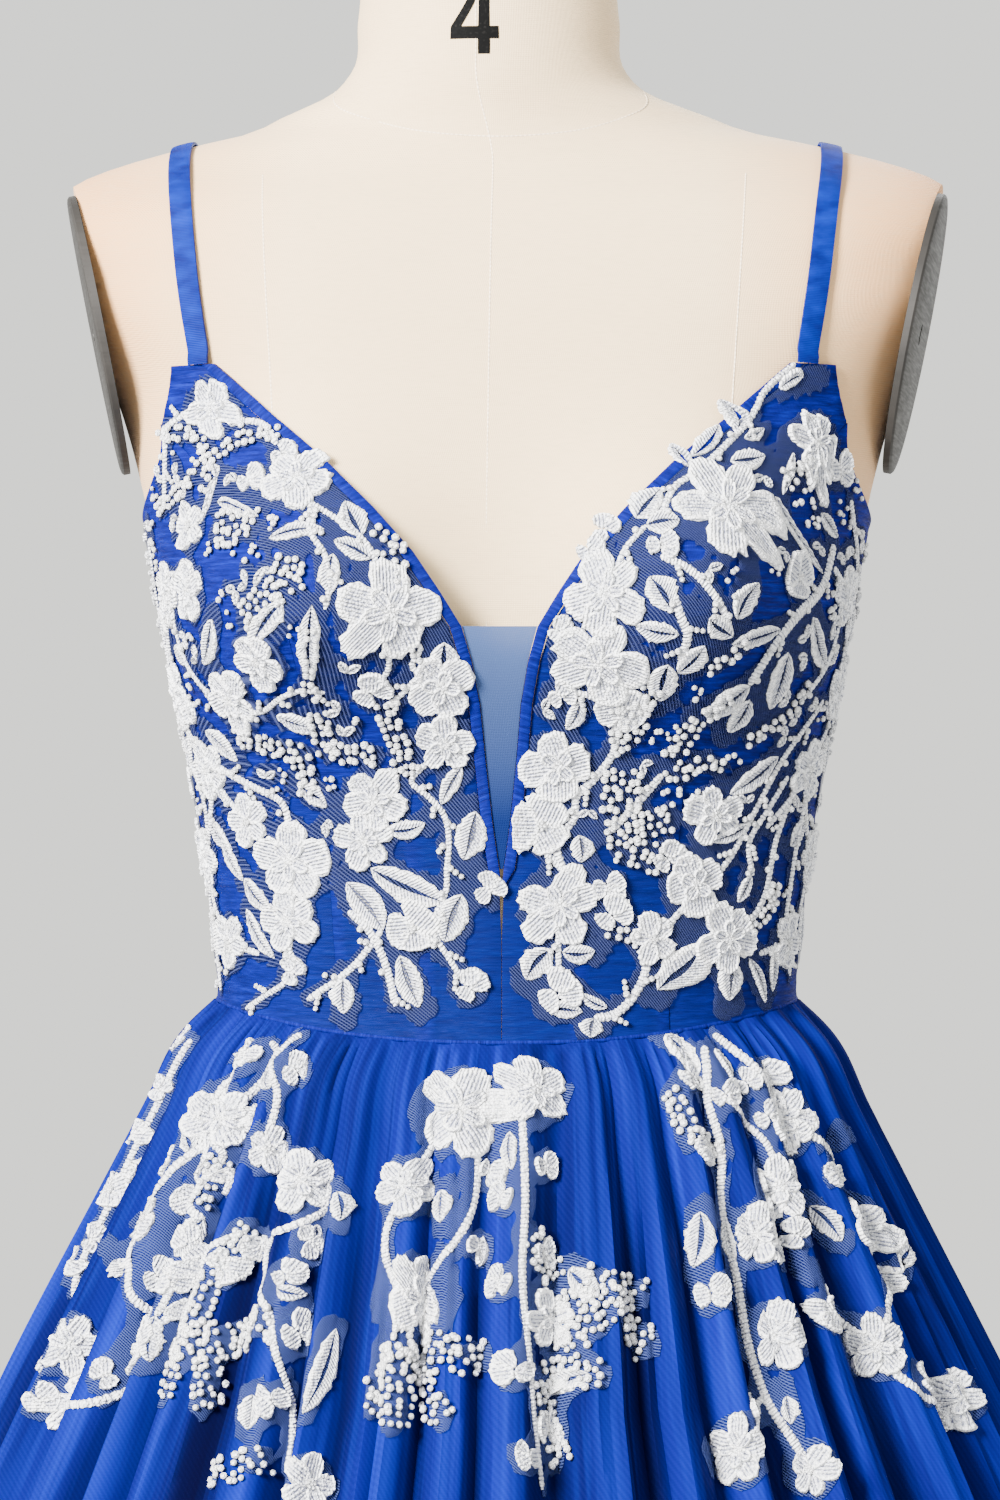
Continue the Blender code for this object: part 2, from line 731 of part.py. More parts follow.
# Leaves: across and down at the base, across and down at the tip, width.
BODICE_LEAVES = (
    (219, 502, 270, 497, 20), (362, 536, 346, 503, 25), (333, 554, 333, 595, 18),
    (312, 605, 325, 679, 18), (444, 642, 441, 680, 25), (282, 601, 270, 634, 20),
    (213, 619, 209, 665, 25), (277, 715, 321, 725, 18), (476, 811, 463, 860, 25),
    (207, 730, 239, 758, 18), (246, 878, 271, 910, 18), (344, 978, 345, 1014, 20),
    (347, 882, 384, 929, 26), (371, 868, 439, 901, 26), (462, 894, 446, 942, 28),
    (400, 955, 420, 1008, 22), (672, 610, 646, 574, 25), (679, 634, 637, 622, 18),
    (668, 664, 659, 700, 26), (678, 672, 704, 644, 22), (551, 949, 527, 980, 24),
    (594, 1018, 594, 1050, 20), (657, 990, 689, 942, 28), (636, 519, 659, 490, 24),
    (646, 526, 681, 522, 22), (730, 462, 764, 458, 20), (736, 619, 749, 579, 25),
    (732, 636, 700, 611, 18), (736, 434, 739, 399, 18), (812, 617, 822, 670, 24),
    (749, 685, 703, 711, 27), (749, 699, 727, 731, 24), (787, 652, 764, 707, 32),
    (777, 756, 730, 790, 20), (729, 958, 728, 1001, 26), (579, 835, 581, 862, 20),
)
# Cords: width, then across and down for each of their points.
BODICE_CORDS = (
    (7, 232, 421, 264, 425, 277, 445), (7, 190, 411, 168, 427, 166, 458, 164, 509),
    (7, 150, 540, 133, 585, 148, 650, 168, 735, 205, 800, 212, 900, 222, 990),
    (8, 180, 712, 188, 730, 222, 768, 257, 788, 282, 802, 292, 840),
    (7, 382, 930, 353, 967, 338, 980, 308, 1000), (8, 349, 911, 371, 933, 381, 952, 396, 1006),
    (7, 797, 360, 764, 392, 744, 426, 731, 440, 693, 475, 677, 485, 662, 517),
    (9, 672, 590, 681, 617, 687, 631, 680, 660), (8, 661, 556, 690, 570, 718, 601, 730, 630),
    (8, 615, 720, 615, 748, 594, 779, 576, 798, 575, 815, 557, 842, 564, 880),
    (8, 662, 774, 638, 802, 608, 833), (9, 594, 1018, 610, 1016, 640, 985, 650, 950),
    (7, 690, 900, 665, 935), (13, 833, 545, 823, 583, 795, 617, 774, 645, 749, 684),
    (7, 822, 700, 780, 762, 752, 815, 729, 858, 712, 880), (7, 787, 776, 768, 808, 748, 845, 752, 875),
    (8, 850, 500, 856, 560, 849, 640, 829, 731, 805, 800, 790, 879, 782, 940),
    (8, 800, 770, 775, 840, 762, 900, 748, 925), (7, 571, 690, 599, 700, 615, 720),
    (7, 541, 848, 562, 870),
)
# The side of the bodice that the picture doesn't show, as the turned view would see it.
SIDE_FLOWERS = (
    (566, 588, 26, 5), (602, 690, 27, 5), (604, 862, 25, 5),
)
SIDE_LEAVES = (
    (600, 640, 622, 600, 18),
)
SIDE_CORDS = (
    (8, 520, 560, 566, 588, 600, 640, 602, 690, 590, 730, 556, 770, 572, 822, 604, 862),
)
# The same for the skirt's front.
SKIRT_FLOWERS = (
    (218, 1120, 29, 5), (268, 1150, 21, 5), (301, 1181, 28, 5), (309, 1485, 24, 5), (533, 1090, 32, 5),
    (460, 1110, 41, 5), (405, 1187, 27, 5), (418, 1300, 38, 5), (548, 1320, 26, 5), (781, 1187, 30, 5),
    (758, 1235, 25, 5), (777, 1335, 28, 5), (739, 1450, 30, 5), (811, 1470, 22, 5),
)
SKIRT_LEAVES = (
    (204, 1219, 163, 1260, 25), (335, 1329, 303, 1412, 20), (252, 1395, 250, 1430, 20),
    (443, 1190, 441, 1222, 20), (666, 1034, 695, 1069, 22), (809, 1206, 838, 1241, 20),
    (701, 1212, 698, 1267, 24), (570, 1270, 610, 1300, 22),
)
SKIRT_CORDS = (
   
    (8, 271, 1042, 277, 1091, 270, 1150, 301, 1181, 325, 1206, 273, 1240, 273, 1332, 290, 1396, 288, 1470),
    (9, 255, 1055, 223, 1088, 218, 1120, 223, 1155, 204, 1181, 191, 1206, 204, 1219),
    (10, 204, 1265, 185, 1323, 172, 1364), (8, 156, 1316, 204, 1262, 246, 1232),
    (8, 522, 1105, 525, 1203, 522, 1275, 529, 1364, 541, 1490),
    (8, 478, 1110, 462, 1232, 440, 1262, 418, 1300), (8, 405, 1187, 386, 1237, 389, 1268, 418, 1300),
    (8, 533, 1090, 460, 1110, 405, 1187),
    (9, 704, 1047, 707, 1091, 720, 1142, 723, 1219, 736, 1275, 749, 1348, 765, 1396, 806, 1460),
    (7, 707, 1088, 742, 1120, 765, 1142, 781, 1187), (7, 765, 1396, 742, 1440),
)


class Sheet:
    """A face of flat triangles under the lace; places on it are counted in columns and rows."""

    def __init__(self, points, normals, known, centre, clear, folded):
        self.centre = centre
        self.clear = clear
        self.folded = folded
        self.points = points
        self.normals = normals
        self.known = known
        self.rows = len(points)
        self.columns = len(points[0])
        corners = [point for row in points for point in row]
        faces = []
        self.cells = []
        for i in range(self.rows - 1):
            for j in range(self.columns - 1):
                if not known(j, i):
                    continue
                a = i * self.columns + j
                faces.append((a, a + 1, a + self.columns))
                faces.append((a + 1, a + self.columns + 1, a + self.columns))
                self.cells += [(j, i), (j, i)]
        self.tree = BVHTree.FromPolygons(corners, faces)
        middle = self.rows // 2
        across = [(points[middle][j + 1] - points[middle][j]).length for j in range(self.columns - 1)]
        down = [(points[i + 1][0] - points[i][0]).length for i in range(self.rows - 1)]
        self.wide = sum(across) / len(across)
        self.tall = sum(down) / len(down)

    def mix(self, table, column, row):
        j = min(max(int(column), 0), self.columns - 2)
        i = min(max(int(row), 0), self.rows - 2)
        s = column - j
        t = row - i
        if s + t <= 1:
            near = table[i][j]
            return near + (table[i][j + 1] - near) * s + (table[i + 1][j] - near) * t
        far = table[i + 1][j + 1]
        return far + (table[i + 1][j] - far) * (1 - s) + (table[i][j + 1] - far) * (1 - t)

    def at(self, column, row, lift):
        return self.mix(self.points, column, row) + self.mix(self.normals, column, row) * lift

    def find(self, across, down, turn):
        """Column and row of the place that a point of the picture shows."""
        heading = radians(EYE_TURN + turn)
        right = Vector((cos(heading), sin(heading), 0))
        eye = Vector((sin(heading), -cos(heading), 0)) * EYE_AWAY + Vector((0, 0, EYE_HEIGHT))
        for step in range(SEARCH_STEPS):
            share = (1 - step / SEARCH_STEPS) * PICTURE_UNIT
            look = -Vector((sin(heading), -cos(heading), 0)) * EYE_AWAY
            look += right * (across - PICTURE_MIDDLE[0]) * share
            look += Vector((0, 0, (self.centre - down) * share))
            look += Vector((0, 0, (PICTURE_MIDDLE[1] - self.centre) * PICTURE_UNIT))
            hit, _, index, _ = self.tree.ray_cast(eye, look.normalized())
            if hit is not None:
                break
        else:
            return None
        j, i = self.cells[index]
        upper = index % 2 == 1
        corner = self.points[i + 1][j + 1] if upper else self.points[i][j]
        along = (self.points[i + 1][j] if upper else self.points[i][j + 1]) - corner
        other = (self.points[i][j + 1] if upper else self.points[i + 1][j]) - corner
        s, t = parts_of(hit - corner, along, other)
        return (j + 1 - s, i + 1 - t) if upper else (j + s, i + t)

    def step(self, place, right, up):
        """A place moved over the face by a distance to the picture's right and up."""
        column, row = place
        eps = 0.02
        along = (self.mix(self.points, column + eps, row) - self.mix(self.points, column, row)) / eps
        other = (self.mix(self.points, column, row + eps) - self.mix(self.points, column, row)) / eps
        normal = self.mix(self.normals, column, row).normalized()
        side = Vector((0, 0, 1)).cross(normal).normalized()
        s, t = parts_of(side * right + normal.cross(side) * up, along, other)
        return column + s, row + t

    def distance(self, first, second):
        """The way from one place to another, as a distance to the right and up."""
        normal = self.mix(self.normals, *first).normalized()
        side = Vector((0, 0, 1)).cross(normal).normalized()
        gap = self.mix(self.points, *second) - self.mix(self.points, *first)
        return gap.dot(side), gap.dot(normal.cross(side))


def parts_of(vector, first, second):
    """The shares of two slanting directions that make up a vector."""
    a, b, c = first.dot(first), first.dot(second), second.dot(second)
    d, e = vector.dot(first), vector.dot(second)
    whole = a * c - b * b
    return (d * c - e * b) / whole, (e * a - d * b) / whole


def flower_outline(sheet, row, turn):
    middle = sheet.find(row[0], row[1], turn)
    radius = row[2] * PICTURE_UNIT + NET_MARGIN
    petals = row[3]
    outline = []
    start = (row[0] * 7 + row[1] * 3) % 72
    spots = ((0.0, 0.66), (0.5, 1.05))
    if row[2] > LARGE_FLOWER:
        spots = ((0.0, 0.62), (0.33, 0.98), (0.67, 0.98))
    for k in range(petals):
        for share, reach in spots:
            angle = radians(start + 360 * (k + share) / petals)
            away = radius * reach
            outline.append(sheet.step(middle, away * cos(angle), away * sin(angle)))
    return outline, middle


def leaf_outline(sheet, row, turn):
    base = sheet.find(row[0], row[1], turn)
    tip = sheet.find(row[2], row[3], turn)
    right, up = sheet.distance(base, tip)
    length = (right * right + up * up) ** 0.5
    half = (row[4] * PICTURE_UNIT / 2 + NET_MARGIN) / length
    outline = []
    for along, side in ((-0.04, 0.0), (0.3, -1.0), (0.68, -0.85), (1.05, 0.0), (0.68, 0.85), (0.3, 1.0)):
        outline.append(sheet.step(base, right * along - up * half * side, up * along + right * half * side))
    return outline, sheet.step(base, right * 0.5, up * 0.5)


def cord_outline(sheet, row, turn):
    half = max(row[0] * PICTURE_UNIT, CORD_LEAST) / 2 + CORD_MARGIN
    places = [sheet.find(row[k], row[k + 1], turn) for k in range(1, len(row), 2)]
    one = []
    other = []
    for k, place in enumerate(places):
        before = sheet.distance(places[max(k - 1, 0)], places[max(k, 1)])
        after = sheet.distance(places[min(k, len(places) - 2)], places[min(k + 1, len(places) - 1)])
        first = Vector(before).normalized()
        second = Vector(after).normalized()
        way = (first + second).normalized()
        reach = half / max(0.5, way.dot(first))
        one.append(sheet.step(place, -way.y * reach, way.x * reach))
        other.append(sheet.step(place, way.y * reach, -way.x * reach))
    return one + other[::-1]


def area_of(loop):
    total = 0.0
    for (x0, y0), (x1, y1) in zip(loop, loop[1:] + loop[:1]):
        total += x0 * y1 - x1 * y0
    return total / 2


def joined_faces(faces):
    """Groups of triangles that share edges, as lists of indices."""
    at_edge = {}
    for index, face in enumerate(faces):
        for k in range(3):
            edge = tuple(sorted((face[k], face[(k + 1) % 3])))
            at_edge.setdefault(edge, []).append(index)
    links = [[] for _ in faces]
    for pair in at_edge.values():
        if len(pair) == 2:
            links[pair[0]].append(pair[1])
            links[pair[1]].append(pair[0])
    seen = set()
    groups = []
    for index in range(len(faces)):
        if index in seen:
            continue
        seen.add(index)
        group = [index]
        for at in group:
            for other in links[at]:
                if other not in seen:
                    seen.add(other)
                    group.append(other)
        groups.append(group)
    return groups


def cover(outlines):
    """Triangles of the union of the outlines: their corners and faces."""
    corners = []
    faces = []
    for outline in outlines:
        loop = outline if area_of(outline) > 0 else outline[::-1]
        faces.append(list(range(len(corners), len(corners) + len(loop))))
        corners += loop
    made = delaunay_2d_cdt([Vector(corner) for corner in corners], [], faces, 1, 1e-5)
    kept = [tuple(face) for face, origin in zip(made[2], made[5]) if origin]
    return [tuple(corner) for corner in made[0]], kept


def bridges(corners, faces):
    """Strips of net that join the separate parts of a cover."""
    groups = joined_faces(faces)
    spots = [np.array([corners[k] for k in sorted({k for f in group for k in faces[f]})]) for group in groups]
    sizes = [sum(abs(area_of([corners[k] for k in faces[f]])) for f in group) for group in groups]
    order = sorted(range(len(groups)), key=lambda k: -sizes[k])
    joined = spots[order[0]]
    waiting = [k for k in order[1:] if sizes[k] > ISLAND_LEAST]
    strips = []
    while waiting:
        best = None
        for k in waiting:
            gaps = np.linalg.norm(joined[:, None] - spots[k][None], axis=2)
            a, b = np.unravel_index(np.argmin(gaps), gaps.shape)
            if best is None or gaps[a, b] < best[0]:
                best = (gaps[a, b], k, joined[a], spots[k][b])
        _, k, start, stop = best
        way = (stop - start) / max(np.linalg.norm(stop - start), 1e-9)
        aside = np.array((-way[1], way[0])) * BRIDGE_WIDTH / 2
        start = start - way * BRIDGE_WIDTH / 2
        stop = stop + way * BRIDGE_WIDTH / 2
        strips.append([tuple(p) for p in (start - aside, stop - aside, stop + aside, start + aside)])
        joined = np.concatenate((joined, spots[k]))
        waiting.remove(k)
    return strips


def edge_loops(faces):
    """The loops of corner indices round the outside and the holes of a set of triangles."""
    ways = set()
    for face in faces:
        for k in range(3):
            ways.add((face[k], face[(k + 1) % 3]))
    follow = {}
    for a, b in ways:
        if (b, a) not in ways:
            follow.setdefault(a, []).append(b)
    loops = []
    while follow:
        start = min(follow)
        loop = [start]
        at = follow[start].pop()
        while at != start:
            loop.append(at)
            at = follow[at].pop()
        for k in [k for k, nexts in follow.items() if not nexts]:
            del follow[k]
        loops.append(loop)
    return loops


def simpler(loop):
    """A loop without the corners that hardly change its course."""
    kept = list(loop)
    changed = True
    while changed and len(kept) > 4:
        changed = False
        best = OUTLINE_SLACK
        for k in range(len(kept)):
            a, b, c = (np.array(kept[(k + move) % len(kept)]) for move in (-1, 0, 1))
            base = c - a
            length = max(np.linalg.norm(base), 1e-9)
            off = abs(base[0] * (b - a)[1] - base[1] * (b - a)[0]) / length
            if off < best:
                best = off
                worst = k
                changed = True
        if changed:
            kept.pop(worst)
    return kept


def shorter_edges(loop):
    """A loop with its long edges cut into parts that can follow a curved face."""
    cut = []
    for (x0, y0), (x1, y1) in zip(loop, loop[1:] + loop[:1]):
        parts = ceil(((x1 - x0) ** 2 + (y1 - y0) ** 2) ** 0.5 / LONGEST_EDGE)
        cut += [(x0 + (x1 - x0) * k / parts, y0 + (y1 - y0) * k / parts) for k in range(parts)]
    return cut


def inside(loops, spots):
    """Which spots an odd number of loops surrounds."""
    odd = np.zeros(len(spots), bool)
    for loop in loops:
        ring = np.array(loop)
        ahead = np.roll(ring, -1, axis=0)
        for (x0, y0), (x1, y1) in zip(ring, ahead):
            crosses = (y0 > spots[:, 1]) != (y1 > spots[:, 1])
            if y0 != y1:
                odd ^= crosses & (spots[:, 0] < (x1 - x0) * (spots[:, 1] - y0) / (y1 - y0) + x0)
    return odd


def sound(faces, corners):
    """The largest set of triangles that meets only along edges."""
    while True:
        at_corner = {}
        for index, face in enumerate(faces):
            for k in face:
                at_corner.setdefault(k, []).append(index)
        doomed = set()
        for around in at_corner.values():
            fans = joined_faces([faces[index] for index in around])
            if len(fans) > 1:
                fans.sort(key=len)
                doomed |= {around[k] for fan in fans[:-1] for k in fan}
        if not doomed:
            break
        faces = [face for index, face in enumerate(faces) if index not in doomed]
    groups = joined_faces(faces)
    sizes = [sum(abs(area_of([corners[k] for k in faces[f]])) for f in group) for group in groups]
    largest = groups[sizes.index(max(sizes))]
    return [faces[index] for index in largest]


def lace_piece(name, sheet, outlines, middles, finish, collection):
    """A closed sheet of lace over a face: thin at its edges and raised inside them."""
    scale = (sheet.wide, sheet.tall)
    flat = [[(c * scale[0], r * scale[1]) for c, r in outline] for outline in outlines]
    corners, faces = cover(flat)
    corners, faces = cover(flat + bridges(corners, faces))
    loops = []
    for loop in edge_loops(faces):
        ring = [corners[k] for k in loop]
        if area_of(ring) > ISLAND_LEAST or area_of(ring) < -HOLE_LEAST:
            loops.append(simpler(ring))
    points = []
    edges = []
    for loop in loops:
        loop = loop if sheet.folded else shorter_edges(loop)
        first = len(points)
        points += loop
        edges += [(first + k, first + (k + 1) % len(loop)) for k in range(len(loop))]
    rows = sheet.rows
    columns = sheet.columns
    points += [(j * scale[0], i * scale[1]) for j in range(1, columns - 1) for i in range(1, rows - 1)]
    lines = [((j, 0), (j, rows - 1)) for j in range(columns)]
    lines += [((0, i), (columns - 1, i)) for i in range(rows)]
    for k in range(1, rows + columns - 2):
        low = max(0, k - rows + 1)
        high = min(k, columns - 1)
        lines.append(((low, k - low), (high, k - high)))
    for start, stop in lines if sheet.folded else ():
        edges.append((len(points), len(points) + 1))
        points += [(start[0] * scale[0], start[1] * scale[1]), (stop[0] * scale[0], stop[1] * scale[1])]
    points += [(c * scale[0], r * scale[1]) for c, r in middles]
    made = delaunay_2d_cdt([Vector(point) for point in points], edges, [], 0, 2e-4)
    corners = [tuple(corner) for corner in made[0]]
    centres = np.array([np.mean([corners[k] for k in face], axis=0) for face in made[2]])
    inner = inside(loops, centres)
    faces = []
    for face, centre, within in zip(made[2], centres, inner):
        cell = (int(centre[0] / scale[0]), int(centre[1] / scale[1]))
        if within and 0 <= cell[0] < columns - 1 and 0 <= cell[1] < rows - 1 and sheet.known(*cell):
            faces.append(tuple(face))
    faces = sound(faces, corners)
    used = sorted({k for face in faces for k in face})
    number = {k: index for index, k in enumerate(used)}
    faces = [tuple(number[k] for k in face) for face in faces]
    ways = {(face[k], face[(k + 1) % 3]) for face in faces for k in range(3)}
    rim = [(a, b) for a, b in ways if (b, a) not in ways]
    on_rim = {a for a, _ in rim}
    low = []
    high = []
    for index, k in enumerate(used):
        place = (corners[k][0] / scale[0], corners[k][1] / scale[1])
        thick = LACE_THICK if index in on_rim else LACE_THICK + LACE_RAISED
        low.append(sheet.at(*place, sheet.clear))
        high.append(sheet.at(*place, sheet.clear + thick))
    a, b, c = (high[k] for k in faces[0])
    place = (corners[used[faces[0][0]]][0] / scale[0], corners[used[faces[0][0]]][1] / scale[1])
    if (b - a).cross(c - a).dot(sheet.mix(sheet.normals, *place)) < 0:
        faces = [face[::-1] for face in faces]
        rim = [(b, a) for a, b in rim]
    count = len(used)
    sides = [(b, a, a + count, b + count) for a, b in rim]
    under = [tuple(k + count for k in face[::-1]) for face in faces]
    return add_mesh(name, high + low, faces + under + sides, finish, collection)


def outlines_of(sheet, flowers, leaves, cords, turn):
    outlines = []
    middles = []
    for table, make in ((flowers, flower_outline), (leaves, leaf_outline)):
        for row in table:
            outline, middle = make(sheet, row, turn)
            outlines.append(outline)
            middles.append(middle)
    for row in cords:
        outlines.append(cord_outline(sheet, row, turn))
    return outlines, middles


def mirrored(table, kind):
    """A table of the turned view as the other side of the dress has it."""
    width = 2 * PICTURE_MIDDLE[0]
    if kind == "cords":
        return [
            (row[0], *(width - value if k % 2 == 0 else value for k, value in enumerate(row[1:])))
            for row in table
        ]
    if kind == "leaves":
        return [(width - row[0], row[1], width - row[2], row[3], row[4]) for row in table]
    return [(width - row[0], *row[1:]) for row in table]


NECK_COLUMNS = 2
OVERHANG = 0.013


def bodice_sheet(side):
    """The neck edge, the front panel and the side panel as one face under the lace."""
    points = []
    normals = []
    for i, level in enumerate(LEVELS):
        places = []
        if i >= FIXED_ROWS:
            half = neck_half(level)
            places.append((angle_at(max(half - OVERHANG, SEAM_GAP / 2), level, BODICE_OUT), level))
            places.append((angle_at(half, level, BODICE_OUT), level))
        else:
            places += [(-0.03, front_place(0, i)[1]), (-0.015, front_place(0, i)[1])]
        places += [front_place(j / FRONT_COLUMNS, i) for j in range(FRONT_COLUMNS + 1)]
        row = min(i, SEAM_ROWS - 1)
        places += [side_place(j / SIDE_COLUMNS, row) for j in range(1, SIDE_COLUMNS + 1)]
        line = [bodice_point(angle * side, z, BODICE_OUT) for angle, z in places]
        raised = [bodice_point(angle * side, z, BODICE_OUT + 0.01) for angle, z in places]
        points.append(line)
        normals.append([(up - point) * 100 for up, point in zip(raised, line)])
    edge = NECK_COLUMNS + FRONT_COLUMNS

    def known(column, row):
        if column < NECK_COLUMNS:
            return row > FIXED_ROWS + 1
        return row < SEAM_ROWS - 1 or column < edge

    return Sheet(points, normals, known, BODICE_CENTRE, BODICE_LACE_CLEAR, False)


def on_side(table, side):
    return [row for row in table if (row[0] - PICTURE_MIDDLE[0]) * side > 0]


def cords_on_side(table, side):
    return [row for row in table if (row[1] - PICTURE_MIDDLE[0]) * side > 0]


def lace_bodice(side, finish, collection):
    sheet = bodice_sheet(side)
    cords = cords_on_side(BODICE_CORDS, side)
    outlines, middles = outlines_of(
        sheet, on_side(BODICE_FLOWERS, side), on_side(BODICE_LEAVES, side), cords, 0
    )
    tables = [SIDE_FLOWERS, SIDE_LEAVES, SIDE_CORDS]
    if side < 0:
        tables = [mirrored(t, kind) for t, kind in zip(tables, ("flowers", "leaves", "cords"))]
    more, centres = outlines_of(sheet, *tables, SIDE_VIEW * side)
    name = f"lace_bodice_{'right' if side > 0 else 'left'}"
    return lace_piece(name, sheet, outlines + more, middles + centres, finish, collection)


def whole_sheet(column, row):
    return True


def skirt_sheet():
    first, last = FRONT_FOLDS
    points = skirt_grid(first, last)[2]
    whole = skirt_grid(first - 1, last + 1)[2]
    normals = grid_normals([row[::-1] for row in whole])
    normals = [row[::-1][COLUMNS_PER_FOLD:-COLUMNS_PER_FOLD] for row in normals]
    return Sheet(points, normals, whole_sheet, SKIRT_CENTRE, SKIRT_LACE_CLEAR, True)


# The sprays of the skirt: name and the part of the picture's width that each takes up.
SPRAYS = (
    ("lace_skirt_left", 0, 350),
    ("lace_skirt_middle", 350, 640),
    ("lace_skirt_right", 640, 1000),
)


def lace_skirt(finish, collection):
    sheet = skirt_sheet()
    for name, low, high in SPRAYS:
        flowers = [row for row in SKIRT_FLOWERS if low <= row[0] < high]
        leaves = [row for row in SKIRT_LEAVES if low <= row[0] < high]
        cords = [row for row in SKIRT_CORDS if low <= row[1] < high]
        outlines, middles = outlines_of(sheet, flowers, leaves, cords, 0)
        lace_piece(name, sheet, outlines, middles, finish, collection)


# ---- the whole ----
def clear_scene():
    for each in list(bpy.data.objects):
        bpy.data.objects.remove(each, do_unlink=True)


def main():
    clear_scene()
    parts = bpy.data.collections.new(NAME)
    cutters = bpy.data.collections.new("cutters")
    bpy.context.scene.collection.children.link(parts)
    bpy.context.scene.collection.children.link(cutters)
    linen = material("form linen", (0.79, 0.71, 0.60), 0.85)
    metal = material("form metal", (0.10, 0.10, 0.11), 0.35, 0.8)
    satin = material("royal blue mesh", (0.02, 0.08, 0.42), 0.5)
    tulle = material("royal blue tulle", (0.015, 0.07, 0.42), 0.7)
    sheer = material("grey blue mesh", (0.20, 0.27, 0.42), 0.6)
    lace = material("white lace", (0.85, 0.86, 0.86), 0.8)

    torso = form_torso(linen, parts)
    form_tree = BVHTree.FromObject(torso, bpy.context.evaluated_depsgraph_get())
    for side in (-1, 1):
        cut_arm_face(torso, side, cutters)
        arm_plate(side, metal, parts)
    neck_cap(metal, parts)
    form_stand(metal, parts)

    for side, word in ((-1, "left"), (1, "right")):
        panel(f"bodice_front_{word}", side, len(LEVELS), FRONT_COLUMNS, front_place, satin, parts)
        panel(f"bodice_side_{word}", side, SEAM_ROWS, SIDE_COLUMNS, side_place, satin, parts)
        panel(f"bodice_back_{word}", side, SEAM_ROWS, BACK_COLUMNS, back_place, satin, parts)
        neck_binding(side, satin, parts)
        strap(side, form_tree, satin, parts)
    mesh_insert(sheer, parts)
    back_zip(satin, parts)

    skirt_panel("skirt_front", FRONT_FOLDS[0], FRONT_FOLDS[1], tulle, parts)
    skirt_panel("skirt_back_right", FRONT_FOLDS[1], len(FOLDS) - 0.5, tulle, parts)
    skirt_panel("skirt_back_left", -0.5, FRONT_FOLDS[0], tulle, parts)
    lace_bodice(-1, lace, parts)
    lace_bodice(1, lace, parts)
    lace_skirt(lace, parts)


main()
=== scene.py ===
"""Looks of the homecoming dress and its dress form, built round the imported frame.

The cloth pieces follow the same sections, rows and folds as the frame's solids, in finer
grids, with their crinkle, gathers and stitched lace. Metres, +Z up, the front faces -Y.
"""

from math import cos, pi, radians, sin, tan

import bmesh
import bpy
import numpy as np
from mathutils import Matrix, Vector
from mathutils.bvhtree import BVHTree


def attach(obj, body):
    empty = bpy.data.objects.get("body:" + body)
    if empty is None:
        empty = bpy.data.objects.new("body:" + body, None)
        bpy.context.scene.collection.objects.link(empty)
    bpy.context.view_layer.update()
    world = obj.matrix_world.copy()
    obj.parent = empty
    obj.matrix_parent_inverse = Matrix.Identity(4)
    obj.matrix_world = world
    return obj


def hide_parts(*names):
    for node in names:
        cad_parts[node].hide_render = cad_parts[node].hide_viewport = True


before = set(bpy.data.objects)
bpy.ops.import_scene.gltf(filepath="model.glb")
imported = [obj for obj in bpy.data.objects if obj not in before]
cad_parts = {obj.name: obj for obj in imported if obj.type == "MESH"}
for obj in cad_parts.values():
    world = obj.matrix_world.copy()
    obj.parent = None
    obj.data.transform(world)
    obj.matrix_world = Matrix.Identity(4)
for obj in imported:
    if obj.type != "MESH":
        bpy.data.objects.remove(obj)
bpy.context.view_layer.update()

# ---- driving dimensions, as the frame has them ----
SEAM_GAP = 0.0003
WAIST_GAP = 0.0005
BODICE_CLEAR = 0.0014
BODICE_WALL = 0.0012
BODICE_OUT = BODICE_CLEAR + BODICE_WALL
SKIRT_LENGTH = 0.48
HEM_HEIGHT = 0.558
WAIST_FRONT = 1.026
WAIST_SIDE = 1.041
WAIST_BACK = 1.036
PEAK_HEIGHT = 1.3145
ARMHOLE_LOW = 1.250
BACK_TOP = 1.195
STRAP_WIDTH = 0.0095
STRAP_THICK = 0.0016
STRAP_CLEAR = 0.0014
BINDING_WIDTH = 0.0046
ZIP_HALF_WIDTH = 0.0016
INSERT_TOP = 1.202
PLATE_LEAN = 11.3
PLATE_TOE = 6.7
PLATE_TALL = 0.124
PLATE_DEEP = 0.100
PLATE_THICK = 0.004
PLATE_X = 0.1767
PLATE_Z = 1.3320
PLATE_Y = -0.012
NECK_SHIFT = -0.008
NECK_TOP = 1.530
TORSO_FOOT = 0.700
POLE_RADIUS = 0.016
BASE_RADIUS = 0.200
BUST_X = 0.088
BUST_Z = 1.212
BUST_FORWARD = 0.042
BUST_SIDE = 0.048
BUST_BELOW = 0.046
BUST_ABOVE = 0.062
FORM_VALLEY = 0.038
BODICE_VALLEY = 0.024
SIDE_WORD = {-1: "left", 1: "right"}

